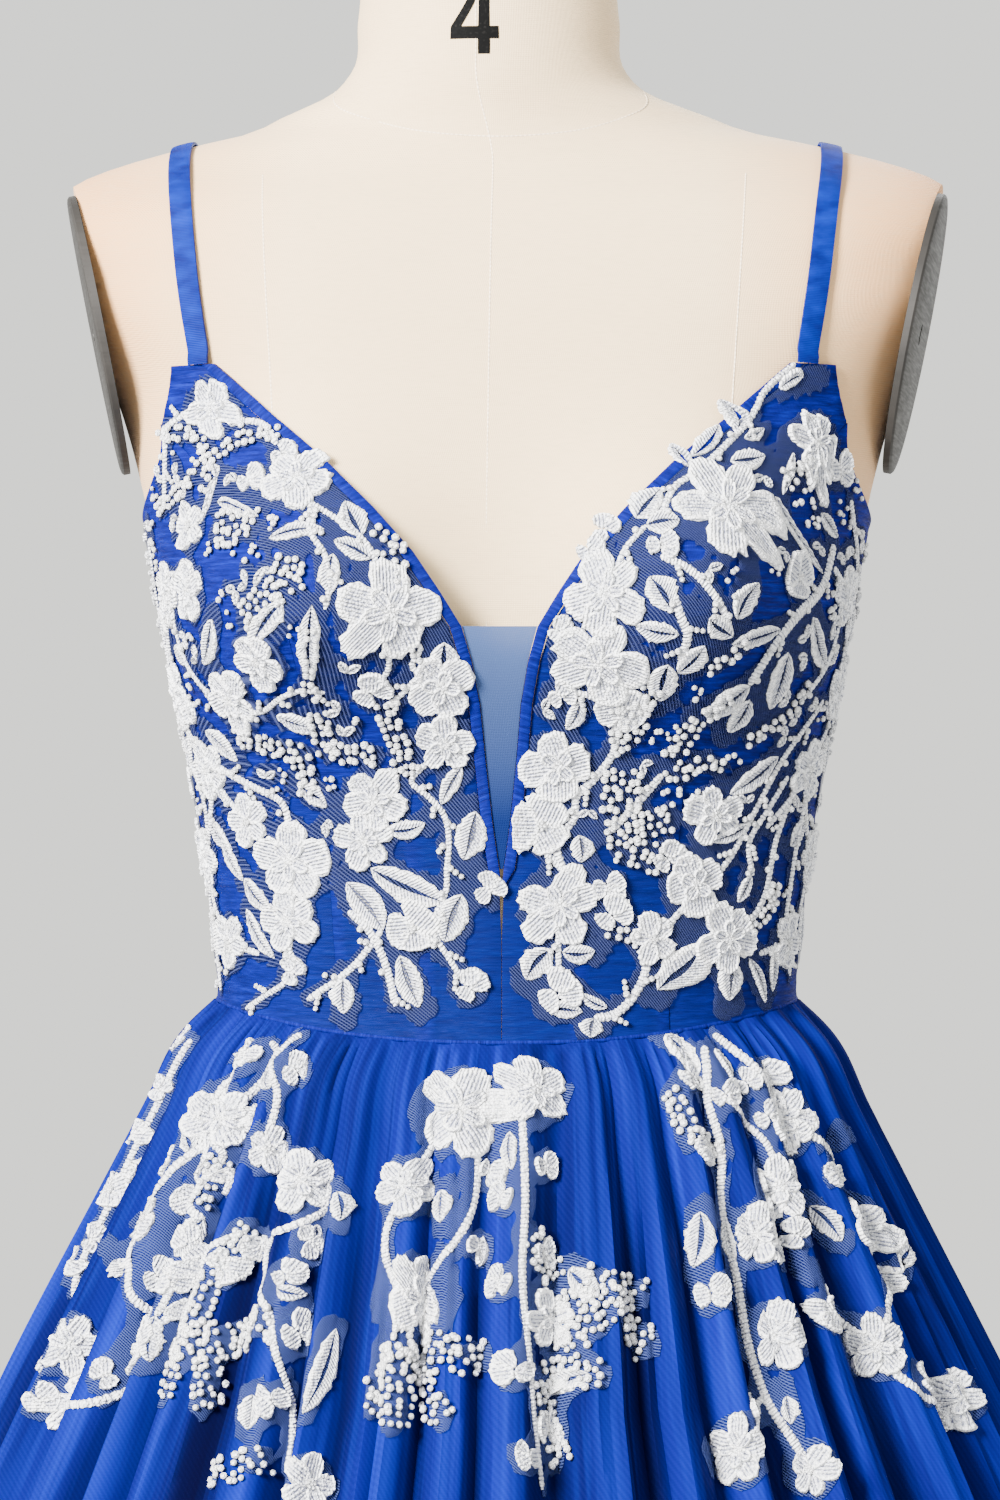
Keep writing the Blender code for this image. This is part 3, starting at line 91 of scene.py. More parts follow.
# The form's sections: height, half width, depth to the front and to the back, squareness.
SECTIONS = (
    (0.700, 0.1500, 0.0950, 0.1050, 2.3),
    (0.760, 0.1620, 0.1050, 0.1200, 2.3),
    (0.840, 0.1660, 0.1100, 0.1250, 2.3),
    (0.930, 0.1520, 0.1030, 0.1080, 2.3),
    (1.000, 0.1295, 0.0900, 0.0900, 2.3),
    (1.040, 0.1245, 0.0850, 0.0830, 2.3),
    (1.080, 0.1275, 0.0860, 0.0860, 2.3),
    (1.140, 0.1360, 0.0920, 0.0960, 2.3),
    (1.213, 0.1500, 0.0980, 0.1080, 2.3),
    (1.260, 0.1590, 0.0970, 0.1120, 2.35),
    (1.300, 0.1700, 0.0900, 0.1120, 2.4),
    (1.350, 0.1905, 0.0800, 0.1040, 3.0),
    (1.385, 0.1970, 0.0660, 0.0900, 2.7),
    (1.400, 0.1880, 0.0560, 0.0740, 1.9),
    (1.4144, 0.1415, 0.0530, 0.0650, 1.6),
    (1.4207, 0.1120, 0.0525, 0.0610, 1.55),
    (1.428, 0.0940, 0.0530, 0.0580, 1.6),
    (1.4385, 0.0690, 0.0540, 0.0560, 1.8),
    (1.446, 0.0615, 0.0535, 0.0545, 2.0),
    (1.470, 0.0575, 0.0525, 0.0535, 2.0),
    (1.530, 0.0555, 0.0510, 0.0520, 2.0),
)
# Half of the opening between the neckline's edges: height, half width.
NECKLINE = (
    (1.092, 0.00015),
    (1.100, 0.0010),
    (1.119, 0.0038),
    (1.146, 0.0067),
    (1.173, 0.0092),
    (1.186, 0.0117),
    (1.202, 0.0165),
    (1.214, 0.0245),
    (1.233, 0.0380),
    (1.256, 0.0595),
    (1.276, 0.0804),
    (1.288, 0.0945),
    (1.303, 0.1105),
    (1.3145, 0.1235),
)
# The princess seam and, above it, the armhole edge: height, degrees round from the front.
PRINCESS = (
    (1.020, 31.0),
    (1.100, 31.0),
    (1.160, 31.5),
    (1.213, 34.0),
    (1.250, 41.0),
    (1.275, 51.0),
    (1.290, 58.4),
    (1.3145, 48.9),
)
PRINCESS_TOP = 1.290
SIDE_ANGLE = 90.0
# The skirt's outline: drop below the waist, half width of the fold crests, depth of a fold.
SKIRT_PROFILE = (
    (0.000, 0.1280, 0.0000),
    (0.012, 0.1405, 0.0035),
    (0.045, 0.1590, 0.0065),
    (0.095, 0.1845, 0.0100),
    (0.160, 0.2180, 0.0133),
    (0.240, 0.2570, 0.0165),
    (0.350, 0.3080, 0.0198),
    (0.480, 0.3550, 0.0230),
)
SKIRT_FLATTER = 0.038
WAIST_SQUARER = 0.3
WAIST_SQUARE_FADE = 0.15
# The skirt's folds: degrees round from the front, share of the full depth, degrees of drift
# from the waist to the hem.
FOLDS = (
    (-174, 0.9, 0.0),
    (-162, 0.8, 1.0),
    (-150, 1.0, -1.0),
    (-137, 0.8, 0.0),
    (-124, 1.0, 1.0),
    (-111, 0.9, 0.0),
    (-98, 0.9, -1.0),
    (-86, 0.8, 1.0),
    (-75, 0.6, 0.0),
    (-65, 0.9, -1.5),
    (-56, 0.55, 0.0),
    (-47, 0.8, 1.0),
    (-38.5, 0.6, -1.0),
    (-29, 0.75, 0.5),
    (-21, 0.5, 1.0),
    (-12.5, 0.8, -1.0),
    (-5, 0.45, -0.5),
    (3, 0.8, 0.5),
    (13, 0.75, -1.0),
    (20, 0.45, 0.0),
    (29, 0.8, 1.0),
    (36.5, 0.4, 1.0),
    (45, 0.75, 0.0),
    (54, 0.6, -1.0),
    (64, 0.85, 1.0),
    (75, 0.6, 0.0),
    (86, 0.85, 0.0),
    (98, 0.9, 1.0),
    (111, 0.9, -1.0),
    (124, 1.0, 0.0),
    (137, 0.8, 1.0),
    (150, 1.0, 0.0),
    (162, 0.8, -1.0),
    (174, 0.9, 0.0),
)
FRONT_FOLDS = (6.5, 26.5)
GATHER_DEPTH = 0.0011
GATHER_FADE = 0.045
# Heights of the bodice's rows at the princess seam; panels that meet there share them.
LEVELS = (
    WAIST_FRONT, 1.050, 1.072, 1.092, 1.100, 1.120, 1.145, 1.170, 1.188, INSERT_TOP, 1.216, 1.232,
    1.250, 1.270, PRINCESS_TOP, 1.303, PEAK_HEIGHT,
)
SEAM_ROWS = LEVELS.index(PRINCESS_TOP) + 1
FIXED_ROWS = LEVELS.index(NECKLINE[0][0])
# The strap's route over the shoulder: degrees up from the front, distance from the middle.
STRAP_ROUTE = (
    (16.2, 0.1283),
    (45.0, 0.1350),
    (90.0, 0.1415),
    (130.0, 0.1330),
    (175.0, 0.1050),
    (213.0, 0.0875),
)
STRAP_AXIS = Vector((0.0, -0.010, 1.300))

# ---- how the picture shows the dress ----
EYE_AWAY = 2.2
EYE_HEIGHT = 1.15
EYE_TURN = 1.5
PICTURE_UNIT = 0.00044
PICTURE_MIDDLE = (507, 750)
PICTURE_WIDTH = 1000
SIDE_VIEW = 62.0
BODICE_CENTRE = 750
SKIRT_CENTRE = 1250
SEARCH_STEPS = 120
# Lengths and weights below this count as none.
TINY = 1e-12


# ---- smooth curves through short tables ----
def smooth(table, column, at):
    """A smooth curve through a table's first column and one other column."""
    keys = np.array([row[0] for row in table], float)
    values = np.array([row[column] for row in table], float)
    slopes = np.gradient(values, keys)
    at = np.clip(np.asarray(at, float), keys[0], keys[-1])
    i = np.clip(np.searchsorted(keys, at, side="right") - 1, 0, len(keys) - 2)
    step = keys[i + 1] - keys[i]
    t = (at - keys[i]) / step
    rise = (1 + 2 * t) * (1 - t) ** 2 * values[i] + t * t * (3 - 2 * t) * values[i + 1]
    bend = t * (1 - t) ** 2 * slopes[i] - t * t * (1 - t) * slopes[i + 1]
    return rise + bend * step


def straight(table, column, at):
    return np.interp(at, [row[0] for row in table], [row[column] for row in table])


def ease(low, high, at):
    """0 below low, 1 above high, and smooth between."""
    share = np.clip((at - low) / (high - low), 0.0, 1.0)
    return share * share * (3 - 2 * share)


def unit(vectors):
    return vectors / np.maximum(np.linalg.norm(vectors, axis=-1, keepdims=True), TINY)


# ---- the body's surface, as the form and the bodice follow it ----
def bust(x, z, valley):
    """How far the front stands forward of the plain section."""
    across = np.abs(x) / BUST_X
    between = BUST_FORWARD - valley * (1 - np.minimum(across, 1) ** 2) ** 2
    beside = BUST_FORWARD * np.exp(-(((np.abs(x) - BUST_X) / BUST_SIDE) ** 2))
    spread = np.where(z < BUST_Z, BUST_BELOW, BUST_ABOVE)
    return np.where(across < 1, between, beside) * np.exp(-(((z - BUST_Z) / spread) ** 2))


def signed_power(value, power):
    return np.abs(value) ** power * np.where(value >= 0, 1, -1)


def body_point(angle, z, valley):
    """Points of the section at height z; angle 0 is the front, 90 degrees the side at +X."""
    angle, z = np.broadcast_arrays(np.asarray(angle, float), np.asarray(z, float))
    half = smooth(SECTIONS, 1, z)
    squareness = smooth(SECTIONS, 4, z)
    front = np.cos(angle) > 0
    deep = np.where(front, smooth(SECTIONS, 2, z), smooth(SECTIONS, 3, z))
    x = half * signed_power(np.sin(angle), 2 / squareness)
    y = -deep * signed_power(np.cos(angle), 2 / squareness)
    forward = bust(x, z, valley) * np.minimum(1.0, np.cos(angle) * 2.5)
    return np.stack((x, y - np.where(front, forward, 0.0), z), axis=-1)


def angle_at(x, z, out):
    """The angle whose point lies at x, for a surface moved out by that much."""
    half = smooth(SECTIONS, 1, z) + out
    squareness = smooth(SECTIONS, 4, z)
    share = np.minimum(1.0, np.abs(x) / half) ** (squareness / 2)
    return np.arctan2(share, np.sqrt(np.maximum(0.0, 1 - share * share))) * np.where(x >= 0, 1, -1)


def bodice_normal(angle, z):
    turn = 0.02
    rise = 0.003
    along = body_point(angle + turn, z, BODICE_VALLEY) - body_point(angle - turn, z, BODICE_VALLEY)
    up = body_point(angle, z + rise, BODICE_VALLEY) - body_point(angle, z - rise, BODICE_VALLEY)
    return unit(np.cross(along, up))


def bodice_point(angle, z, out):
    """Points of the bodice, moved out from the body along the surface's normal."""
    out = np.asarray(out, float)[..., None]
    return body_point(angle, z, BODICE_VALLEY) + bodice_normal(angle, z) * out


def form_point(angle, z):
    point = body_point(angle, z, FORM_VALLEY)
    lift = ease(1.400, 1.445, z)
    point[..., 0] += NECK_SHIFT * lift
    return point


def waist_height(angle):
    low = np.where(np.cos(angle) > 0, WAIST_FRONT, WAIST_BACK)
    return low + (WAIST_SIDE - low) * np.sin(angle) ** 2


# ---- meshes ----
def new_object(name, points, faces, finish, cloth=None, smooth_angle=50):
    """A mesh object; cloth holds each point's place on the cloth, in metres, and a mask."""
    mesh = bpy.data.meshes.new(name)
    mesh.from_pydata([tuple(map(float, point)) for point in points], [], faces)
    mesh.materials.append(finish)
    if cloth is not None:
        made = mesh.attributes.new("cloth", "FLOAT_VECTOR", "POINT")
        made.data.foreach_set("vector", np.asarray(cloth, np.float32).ravel())
    mesh.shade_smooth()
    if smooth_angle:
        mesh.set_sharp_from_angle(angle=radians(smooth_angle))
    made = bpy.data.objects.new(name, mesh)
    bpy.context.scene.collection.objects.link(made)
    return made


def grid_faces(rows, columns, closed=False):
    i, j = np.mgrid[0 : rows - 1, 0 : columns if closed else columns - 1]
    a = i * columns + j
    b = i * columns + (j + 1) % columns
    return np.stack((a, b, b + columns, a + columns), axis=-1).reshape(-1, 4).tolist()


def ring_faces(rings, sides):
    """Faces of rings of points joined one to the next, and closed at both ends."""
    faces = grid_faces(rings, sides, closed=True)
    last = (rings - 1) * sides
    return faces + [tuple(range(sides - 1, -1, -1)), tuple(range(last, last + sides))]


def rim_of(rows, columns):
    """The points round a grid's four edges."""
    rim = list(range(columns))
    rim += [i * columns + columns - 1 for i in range(1, rows)]
    rim += [(rows - 1) * columns + j for j in range(columns - 2, -1, -1)]
    return rim + [i * columns for i in range(rows - 2, 0, -1)]


def shell_faces(rows, columns):
    """Faces of two grids, the second inside the first, with a band round their four edges."""
    count = rows * columns
    faces = grid_faces(rows, columns)
    faces += [tuple(k + count for k in face[::-1]) for face in grid_faces(rows, columns)]
    rim = rim_of(rows, columns)
    return faces + [(b, a, a + count, b + count) for a, b in zip(rim, rim[1:] + rim[:1])]


def shell(name, outer, inner, cloth, finish):
    """A closed thin shell between two grids of points."""
    points = np.concatenate((outer.reshape(-1, 3), inner.reshape(-1, 3)))
    place = cloth.reshape(-1, 3)
    faces = shell_faces(*outer.shape[:2])
    return new_object(name, points, faces, finish, np.concatenate((place, place)))


def sided_shell(side, name, outer, inner, cloth, finish):
    """A shell made for the right side of the dress, or turned over for the left."""
    if side < 0:
        outer, inner, cloth = outer[:, ::-1], inner[:, ::-1], cloth[:, ::-1]
    return shell(name, outer, inner, cloth, finish)


def refined(table, steps=1, at=None):
    """Rows added between a table's rows, in straight lines from each to the next."""
    rows = len(table)
    if at is None:
        at = np.linspace(0, rows - 1, (rows - 1) * steps + 1)
    low = np.minimum(at.astype(int), rows - 2)
    share = (at - low).reshape((-1,) + (1,) * (table.ndim - 1))
    return table[low] * (1 - share) + table[low + 1] * share


def grid_normals(points):
    """Normals of a grid of points, from its own steps across and down."""
    across = np.gradient(points, axis=1)
    down = np.gradient(points, axis=0)
    return unit(np.cross(across, down))


def lengths(points, axis):
    """Distances along a grid's rows or columns, from the first point."""
    steps = np.linalg.norm(np.diff(points, axis=axis), axis=-1)
    start = np.zeros_like(np.take(steps, [0], axis=axis))
    return np.concatenate((start, np.cumsum(steps, axis=axis)), axis=axis)


def plain_cloth(points):
    """Places on the cloth of a grid, from its own lengths, with no mask."""
    return np.stack((lengths(points, 1), lengths(points, 0), np.zeros(points.shape[:2])), axis=-1)


def tube(path, widths, heights, ups, sides):
    """Rings round a path: half widths and heights at each point, and the way up there."""
    path = np.asarray(path, float)
    along = unit(np.gradient(path, axis=0))
    across = unit(np.cross(along, ups))
    ups = unit(np.cross(across, along))
    rings = []
    for k in range(sides):
        turn = 2 * pi * k / sides
        ring = across * (widths * cos(turn))[:, None] + ups * (heights * sin(turn))[:, None]
        rings.append(path + ring)
    return np.stack(rings, axis=1).reshape(-1, 3), ring_faces(len(path), sides)


class Parts:
    """Points and faces of many small forms that become one mesh."""

    def __init__(self):
        self.points = []
        self.faces = []
        self.cloth = []
        self.count = 0

    def add(self, points, faces, cloth=None):
        points = np.asarray(points, float).reshape(-1, 3)
        self.faces += [tuple(k + self.count for k in face) for face in faces]
        self.points.append(points)
        cloth = np.zeros_like(points) if cloth is None else np.asarray(cloth)
        self.cloth.append(cloth.reshape(-1, 3))
        self.count += len(points)

    def made(self, name, finish, smooth_angle=60):
        points, cloth = np.concatenate(self.points), np.concatenate(self.cloth)
        return new_object(name, points, self.faces, finish, cloth, smooth_angle)


# ---- materials ----
class Finish:
    """A material whose nodes are added by short calls."""

    def __init__(self, name):
        self.material = bpy.data.materials.new(name)
        self.material.use_nodes = True
        self.tree = self.material.node_tree
        self.shader = self.tree.nodes["Principled BSDF"]

    def node(self, kind, links=None, **settings):
        made = self.tree.nodes.new(kind)
        for key, value in settings.items():
            setattr(made, key, value)
        for key, value in (links or {}).items():
            self.put(made.inputs[key], value)
        return made

    def put(self, socket, value):
        if isinstance(value, bpy.types.NodeSocket):
            self.tree.links.new(value, socket)
        else:
            socket.default_value = value

    def place(self, scale, source="cloth"):
        """The place on the cloth, or in space, stretched by a scale along each way."""
        if source == "cloth":
            made = self.node("ShaderNodeAttribute", attribute_name="cloth").outputs["Vector"]
        else:
            made = self.node("ShaderNodeTexCoord").outputs["Object"]
        return self.node("ShaderNodeVectorMath", {0: made, 1: scale}, operation="MULTIPLY").outputs[0]

    def part(self, name, source="cloth"):
        place = self.place((1, 1, 1), source)
        return self.node("ShaderNodeSeparateXYZ", {0: place}).outputs[name]

    def noise(self, scale, source="cloth", detail=3.0, rough=0.5):
        links = {"Vector": self.place(scale, source), "Scale": 1.0, "Detail": detail, "Roughness": rough}
        return self.node("ShaderNodeTexNoise", links).outputs[0]

    def wave(self, scale, source="cloth", direction="X", bend=0.0, fine=2.0):
        links = {"Vector": self.place(scale, source), "Scale": 1.0, "Distortion": bend, "Detail": fine}
        return self.node("ShaderNodeTexWave", links, bands_direction=direction).outputs[1]

    def sums(self, operation, first, second):
        return self.node("ShaderNodeMath", {0: first, 1: second}, operation=operation).outputs[0]

    def times(self, first, second):
        return self.sums("MULTIPLY", first, second)

    def plus(self, first, second):
        return self.sums("ADD", first, second)

    def ranged(self, value, low, high, to_low=0.0, to_high=1.0):
        links = {0: value, 1: low, 2: high, 3: to_low, 4: to_high}
        return self.node("ShaderNodeMapRange", links).outputs[0]

    def mix(self, share, first, second):
        made = self.node("ShaderNodeMix", data_type="RGBA")
        self.put(made.inputs[0], share)
        self.put(made.inputs[6], first)
        self.put(made.inputs[7], second)
        return made.outputs[2]

    def bump(self, height, distance, strength=1.0):
        links = {"Height": height, "Distance": distance, "Strength": strength}
        return self.node("ShaderNodeBump", links).outputs[0]

    def set(self, **inputs):
        for key, value in inputs.items():
            self.put(self.shader.inputs[key.replace("_", " ")], value)
        return self.material


def rgb(red, green, blue):
    """A colour from its 0 to 255 values, as the nodes count it."""
    values = np.array((red, green, blue)) / 255
    linear = np.where(values <= 0.04045, values / 12.92, ((values + 0.055) / 1.055) ** 2.4)
    return (*(float(value) for value in linear), 1.0)


def linen_finish():
    made = Finish("cream_linen")
    weft = made.wave((0, 0, 360), "space", "Z", 1.2)
    weave = made.plus(weft, made.wave((720, 720, 0), "space", "DIAGONAL", 1.2))
    cloudy = made.noise((9, 9, 5), "space", 4.0)
    slub = made.noise((160, 160, 900), "space", 2.0)
    # Towards the sides the cream turns tan: partly the cover's own tone and partly painted shade where the
    # form turns away from the light.
    away = made.sums("ABSOLUTE", made.part("X", "space"), 0.0)
    colour = made.mix(made.ranged(away, 0.09, 0.18, 0.0, 0.85), rgb(216, 189, 148), rgb(204, 136, 70))
    colour = made.mix(made.ranged(cloudy, 0.35, 0.7, 0.0, 0.35), colour, rgb(202, 176, 136))
    colour = made.mix(made.ranged(slub, 0.45, 0.75, 0.0, 0.25), colour, rgb(190, 168, 134))
    height = made.plus(weave, made.times(slub, 1.5))
    return made.set(
        Base_Color=colour,
        Roughness=made.ranged(slub, 0.3, 0.7, 0.78, 0.92),
        Normal=made.bump(height, 0.00012, 0.6),
        Sheen_Weight=0.15,
    )


def seam_finish():
    made = Finish("linen_thread")
    ply = made.wave((0, 160, 0), "cloth", "Y", 0.5)
    colour = made.mix(ply, rgb(206, 184, 156), rgb(238, 220, 194))
    return made.set(Base_Color=colour, Roughness=0.85, Normal=made.bump(ply, 0.0001))


def metal_finish(name, dark, light, roughness):
    made = Finish(name)
    brushed = made.noise((40, 40, 900), "space", 2.0)
    worn = made.noise((30, 30, 30), "space", 4.0)
    colour = made.mix(made.ranged(worn, 0.3, 0.7), dark, light)
    return made.set(
        Base_Color=colour,
        Metallic=0.35,
        Roughness=made.ranged(brushed, 0.3, 0.7, roughness - 0.08, roughness + 0.12),
        Normal=made.bump(brushed, 0.00005, 0.5),
    )


def ink_finish():
    made = Finish("numeral_ink")
    worn = made.noise((700, 700, 700), "space", 3.0)
    colour = made.mix(made.ranged(worn, 0.55, 0.8), rgb(6, 6, 6), rgb(30, 29, 28))
    return made.set(
        Base_Color=colour, Roughness=made.ranged(worn, 0.3, 0.7, 0.6, 0.8), Specular_IOR_Level=0.05
    )


BLUE_BRIGHT = rgb(8, 17, 104)
BLUE_MIDDLE = rgb(6, 9, 70)
BLUE_DEEP = rgb(3, 2, 24)
BLUE_LIGHT = rgb(10, 36, 146)
BLUE_SHEER = rgb(0, 12, 58)


def crinkle_finish():
    """The bodice's crinkled mesh; the mask on the cloth says how much of the form it shows."""
    made = Finish("crinkled_blue_mesh")
    crinkle = made.noise((70, 620, 1), detail=4.0, rough=0.6)
    fine = made.noise((200, 1900, 1), detail=2.0)
    weave = made.wave((900, 900, 0), direction="DIAGONAL", bend=0.6)
    colour = made.mix(made.ranged(crinkle, 0.34, 0.62), BLUE_MIDDLE, BLUE_BRIGHT)
    colour = made.mix(made.ranged(crinkle, 0.55, 0.75, 0.0, 0.5), colour, BLUE_LIGHT)
    colour = made.mix(made.ranged(fine, 0.5, 0.8, 0.0, 0.4), colour, BLUE_DEEP)
    sheer = made.times(made.part("Z"), made.ranged(crinkle, 0.25, 0.75, 0.55, 1.0))
    colour = made.mix(sheer, colour, BLUE_SHEER)
    height = made.plus(crinkle, made.times(fine, 0.6))
    height = made.plus(height, made.times(weave, 0.12))
    return made.set(
        Base_Color=colour,
        Roughness=made.ranged(fine, 0.3, 0.7, 0.5, 0.72),
        Normal=made.bump(height, 0.0006, 0.7),
        Specular_IOR_Level=0.04,
    )


def ribbon_finish():
    """The plain blue cloth of the straps and the neck binding."""
    made = Finish("blue_ribbon")
    weave = made.wave((0, 420, 0), direction="Y", bend=0.4)
    cloudy = made.noise((60, 120, 1), detail=3.0)
    colour = made.mix(made.ranged(cloudy, 0.3, 0.7), BLUE_MIDDLE, rgb(0, 34, 130))
    colour = made.mix(made.ranged(weave, 0.0, 0.5, 0.25, 0.0), colour, BLUE_MIDDLE)
    return made.set(
        Base_Color=colour,
        Roughness=made.ranged(weave, 0.0, 1.0, 0.62, 0.5),
        Normal=made.bump(weave, 0.0002, 0.6),
        Specular_IOR_Level=0.05,
    )


def tulle_finish():
    """Layers of net: slanting threads over soft streaks; the mask says how deep the fold is, and sets
    painted shade in the valleys and a painted highlight on the crests.
    """
    made = Finish("blue_tulle")
    threads = made.wave((285, 80, 160), "space", "DIAGONAL", 0.8)
    fine = made.wave((0, 0, 520), "space", "Z", 0.6)
    streaks = made.noise((110, 2.6, 0), detail=4.0, rough=0.62)
    broad = made.noise((30, 2.2, 0), detail=3.0)
    fibres = made.noise((420, 9, 0), detail=2.0)
    depth = made.part("Z")
    colour = made.mix(made.ranged(streaks, 0.32, 0.62), BLUE_MIDDLE, BLUE_BRIGHT)
    colour = made.mix(made.ranged(fibres, 0.5, 0.75, 0.0, 0.5), colour, BLUE_LIGHT)
    # Painted highlight: the fold crests are lightened towards BLUE_LIGHT.
    high = made.ranged(depth, 0.0, 0.30, 1.0, 0.0)
    crest = made.times(high, made.ranged(streaks, 0.36, 0.6))
    colour = made.mix(made.times(crest, 0.6), colour, BLUE_LIGHT)
    colour = made.mix(made.ranged(broad, 0.42, 0.68, 0.0, 0.7), colour, BLUE_DEEP)
    # Painted shade: the fold valleys and the pleats at the waist are darkened towards BLUE_DEEP.
    colour = made.mix(made.ranged(depth, 0.35, 1.0, 0.0, 0.72), colour, BLUE_DEEP)
    colour = made.mix(made.ranged(threads, 0.1, 0.9, 0.15, 0.0), colour, BLUE_DEEP)
    colour = made.mix(made.ranged(fine, 0.0, 0.6, 0.16, 0.0), colour, BLUE_DEEP)
    return made.set(
        Base_Color=colour,
        Roughness=made.ranged(threads, 0.2, 0.9, 0.95, 0.8),
        Normal=made.bump(threads, 0.00003, 0.6),
        Specular_IOR_Level=0.03,
    )


def sheer_finish():
    made = Finish("sheer_mesh")
    knit = made.wave((430, 0, 0), direction="X", bend=0.5)
    rows = made.wave((0, 430, 0), direction="Y", bend=0.5)
    holes = made.times(knit, rows)
    low = made.ranged(made.part("Y"), 0.02, 0.115, 0.0, 1.0)
    colour = made.mix(low, rgb(0, 12, 56), rgb(72, 92, 132))
    colour = made.mix(made.ranged(holes, 0.1, 0.8, 0.25, 0.0), colour, rgb(30, 50, 104))
    clear = made.times(made.ranged(holes, 0.0, 0.6, 0.20, 0.08), low)
    return made.set(
        Base_Color=colour,
        Roughness=0.6,
        Alpha=made.sums("SUBTRACT", 1.0, clear),
        Normal=made.bump(holes, 0.0002, 0.5),
        Specular_IOR_Level=0.04,
    )


def thread_finish():
    """White stitches: threads across the cloth's first way, knotted into grains, with painted shade between
    the grains and in the low parts of the relief.
    """
    made = Finish("white_embroidery")
    threads = made.wave((210, 24, 0), direction="X", bend=1.6, fine=2.0)
    links = {"Vector": made.place((860, 860, 860), "space"), "Scale": 1.0}
    grains = made.node("ShaderNodeTexVoronoi", links).outputs["Distance"]
    fibres = made.noise((2600, 2600, 2600), "space", 2.0)
    broken = made.noise((420, 420, 420), "space", 2.0)
    relief_shade = made.part("Z")
    # Painted shade: the borders between the knotted grains are darkened.
    colour = made.mix(made.ranged(grains, 0.4, 0.95, 0.0, 0.6), rgb(255, 255, 255), rgb(160, 168, 188))
    # Painted shade: the petals' inner fields, the stitches' furrows and the undersides of knots and cords
    # are darkened by the cloth's shade mask.
    painted_hollow_shade = made.ranged(relief_shade, 0.1, 0.7, 0.62, 0.0)
    colour = made.mix(painted_hollow_shade, colour, rgb(118, 128, 158))
    slits = made.ranged(threads, 0.05, 0.34, 1.0, 0.0)
    slits = made.times(slits, made.ranged(broken, 0.36, 0.48))
    slits = made.times(slits, made.ranged(relief_shade, 0.60, 0.80, 0.85, 0.0))
    colour = made.mix(slits, colour, rgb(40, 48, 96))
    height = made.plus(threads, made.times(grains, -1.6))
    height = made.plus(height, made.times(fibres, 0.3))
    return made.set(
        Base_Color=colour,
        Roughness=made.ranged(fibres, 0.3, 0.7, 0.6, 0.85),
        Normal=made.bump(height, 0.0007, 1.0),
    )


def net_finish(name, dark, light, cloud):
    """The even net that the lace is worked on."""
    made = Finish(name)
    first = made.wave((400, 400, 0), direction="DIAGONAL", bend=0.4)
    second = made.wave((-480, 480, 0), direction="DIAGONAL", bend=0.4)
    threads = made.sums("MAXIMUM", first, made.times(second, 0.7))
    cloudy = made.noise((90, 90, 1), detail=3.0)
    colour = made.mix(made.ranged(threads, 0.45, 1.0), dark, light)
    return made.set(
        Base_Color=made.mix(made.ranged(cloudy, 0.45, 0.8, 0.0, 0.5), colour, cloud),
        Roughness=0.8,
        Alpha=made.ranged(threads, 0.3, 1.0, 0.25, 0.60),
        Normal=made.bump(threads, 0.0002, 0.6),
        Specular_IOR_Level=0.04,
    )


# ---- the dress form ----
FORM_COLUMNS = 132
FORM_ROWS = 220


def form_torso(finish):
    heights = np.linspace(TORSO_FOOT, NECK_TOP, FORM_ROWS)
    angles = np.arange(FORM_COLUMNS) * 2 * pi / FORM_COLUMNS
    points = form_point(angles[None, :], heights[:, None]).reshape(-1, 3)
    faces = ring_faces(FORM_ROWS, FORM_COLUMNS)
    torso = new_object("form_cover", points, faces, finish, smooth_angle=0)
    for side in SIDE_WORD:
        cut_arm_face(torso, side)
    cut = torso.evaluated_get(bpy.context.evaluated_depsgraph_get())
    solid = bpy.data.meshes.new_from_object(cut)
    for each in list(torso.modifiers):
        block = each.object
        torso.modifiers.remove(each)
        bpy.data.objects.remove(block, do_unlink=True)
    torso.data = solid
    solid.shade_smooth()
    solid.set_sharp_from_angle(angle=radians(40))
    return torso


def plate_frame(side, out):
    """Where an arm plate sits: leaning in at its foot and turned a little to the front."""
    turn = Matrix.Rotation(radians(-PLATE_TOE * side), 4, "Z")
    lean = Matrix.Rotation(radians(PLATE_LEAN * side), 4, "Y")
    place = Matrix.Translation((side * PLATE_X, PLATE_Y, PLATE_Z))
    return place @ turn @ lean @ Matrix.Translation((side * out, 0, 0))


def cut_arm_face(torso, side):
    size = 0.20
    mesh = bpy.data.meshes.new("arm_cutter")
    shape = bmesh.new()
    bmesh.ops.create_cube(shape, size=size)
    shape.to_mesh(mesh)
    shape.free()
    block = bpy.data.objects.new("arm_cutter", mesh)
    block.matrix_world = plate_frame(side, size / 2)
    bpy.context.scene.collection.objects.link(block)
    cut = torso.modifiers.new("arm face", "BOOLEAN")
    cut.operation = "DIFFERENCE"
    cut.solver = "EXACT"
    cut.object = block


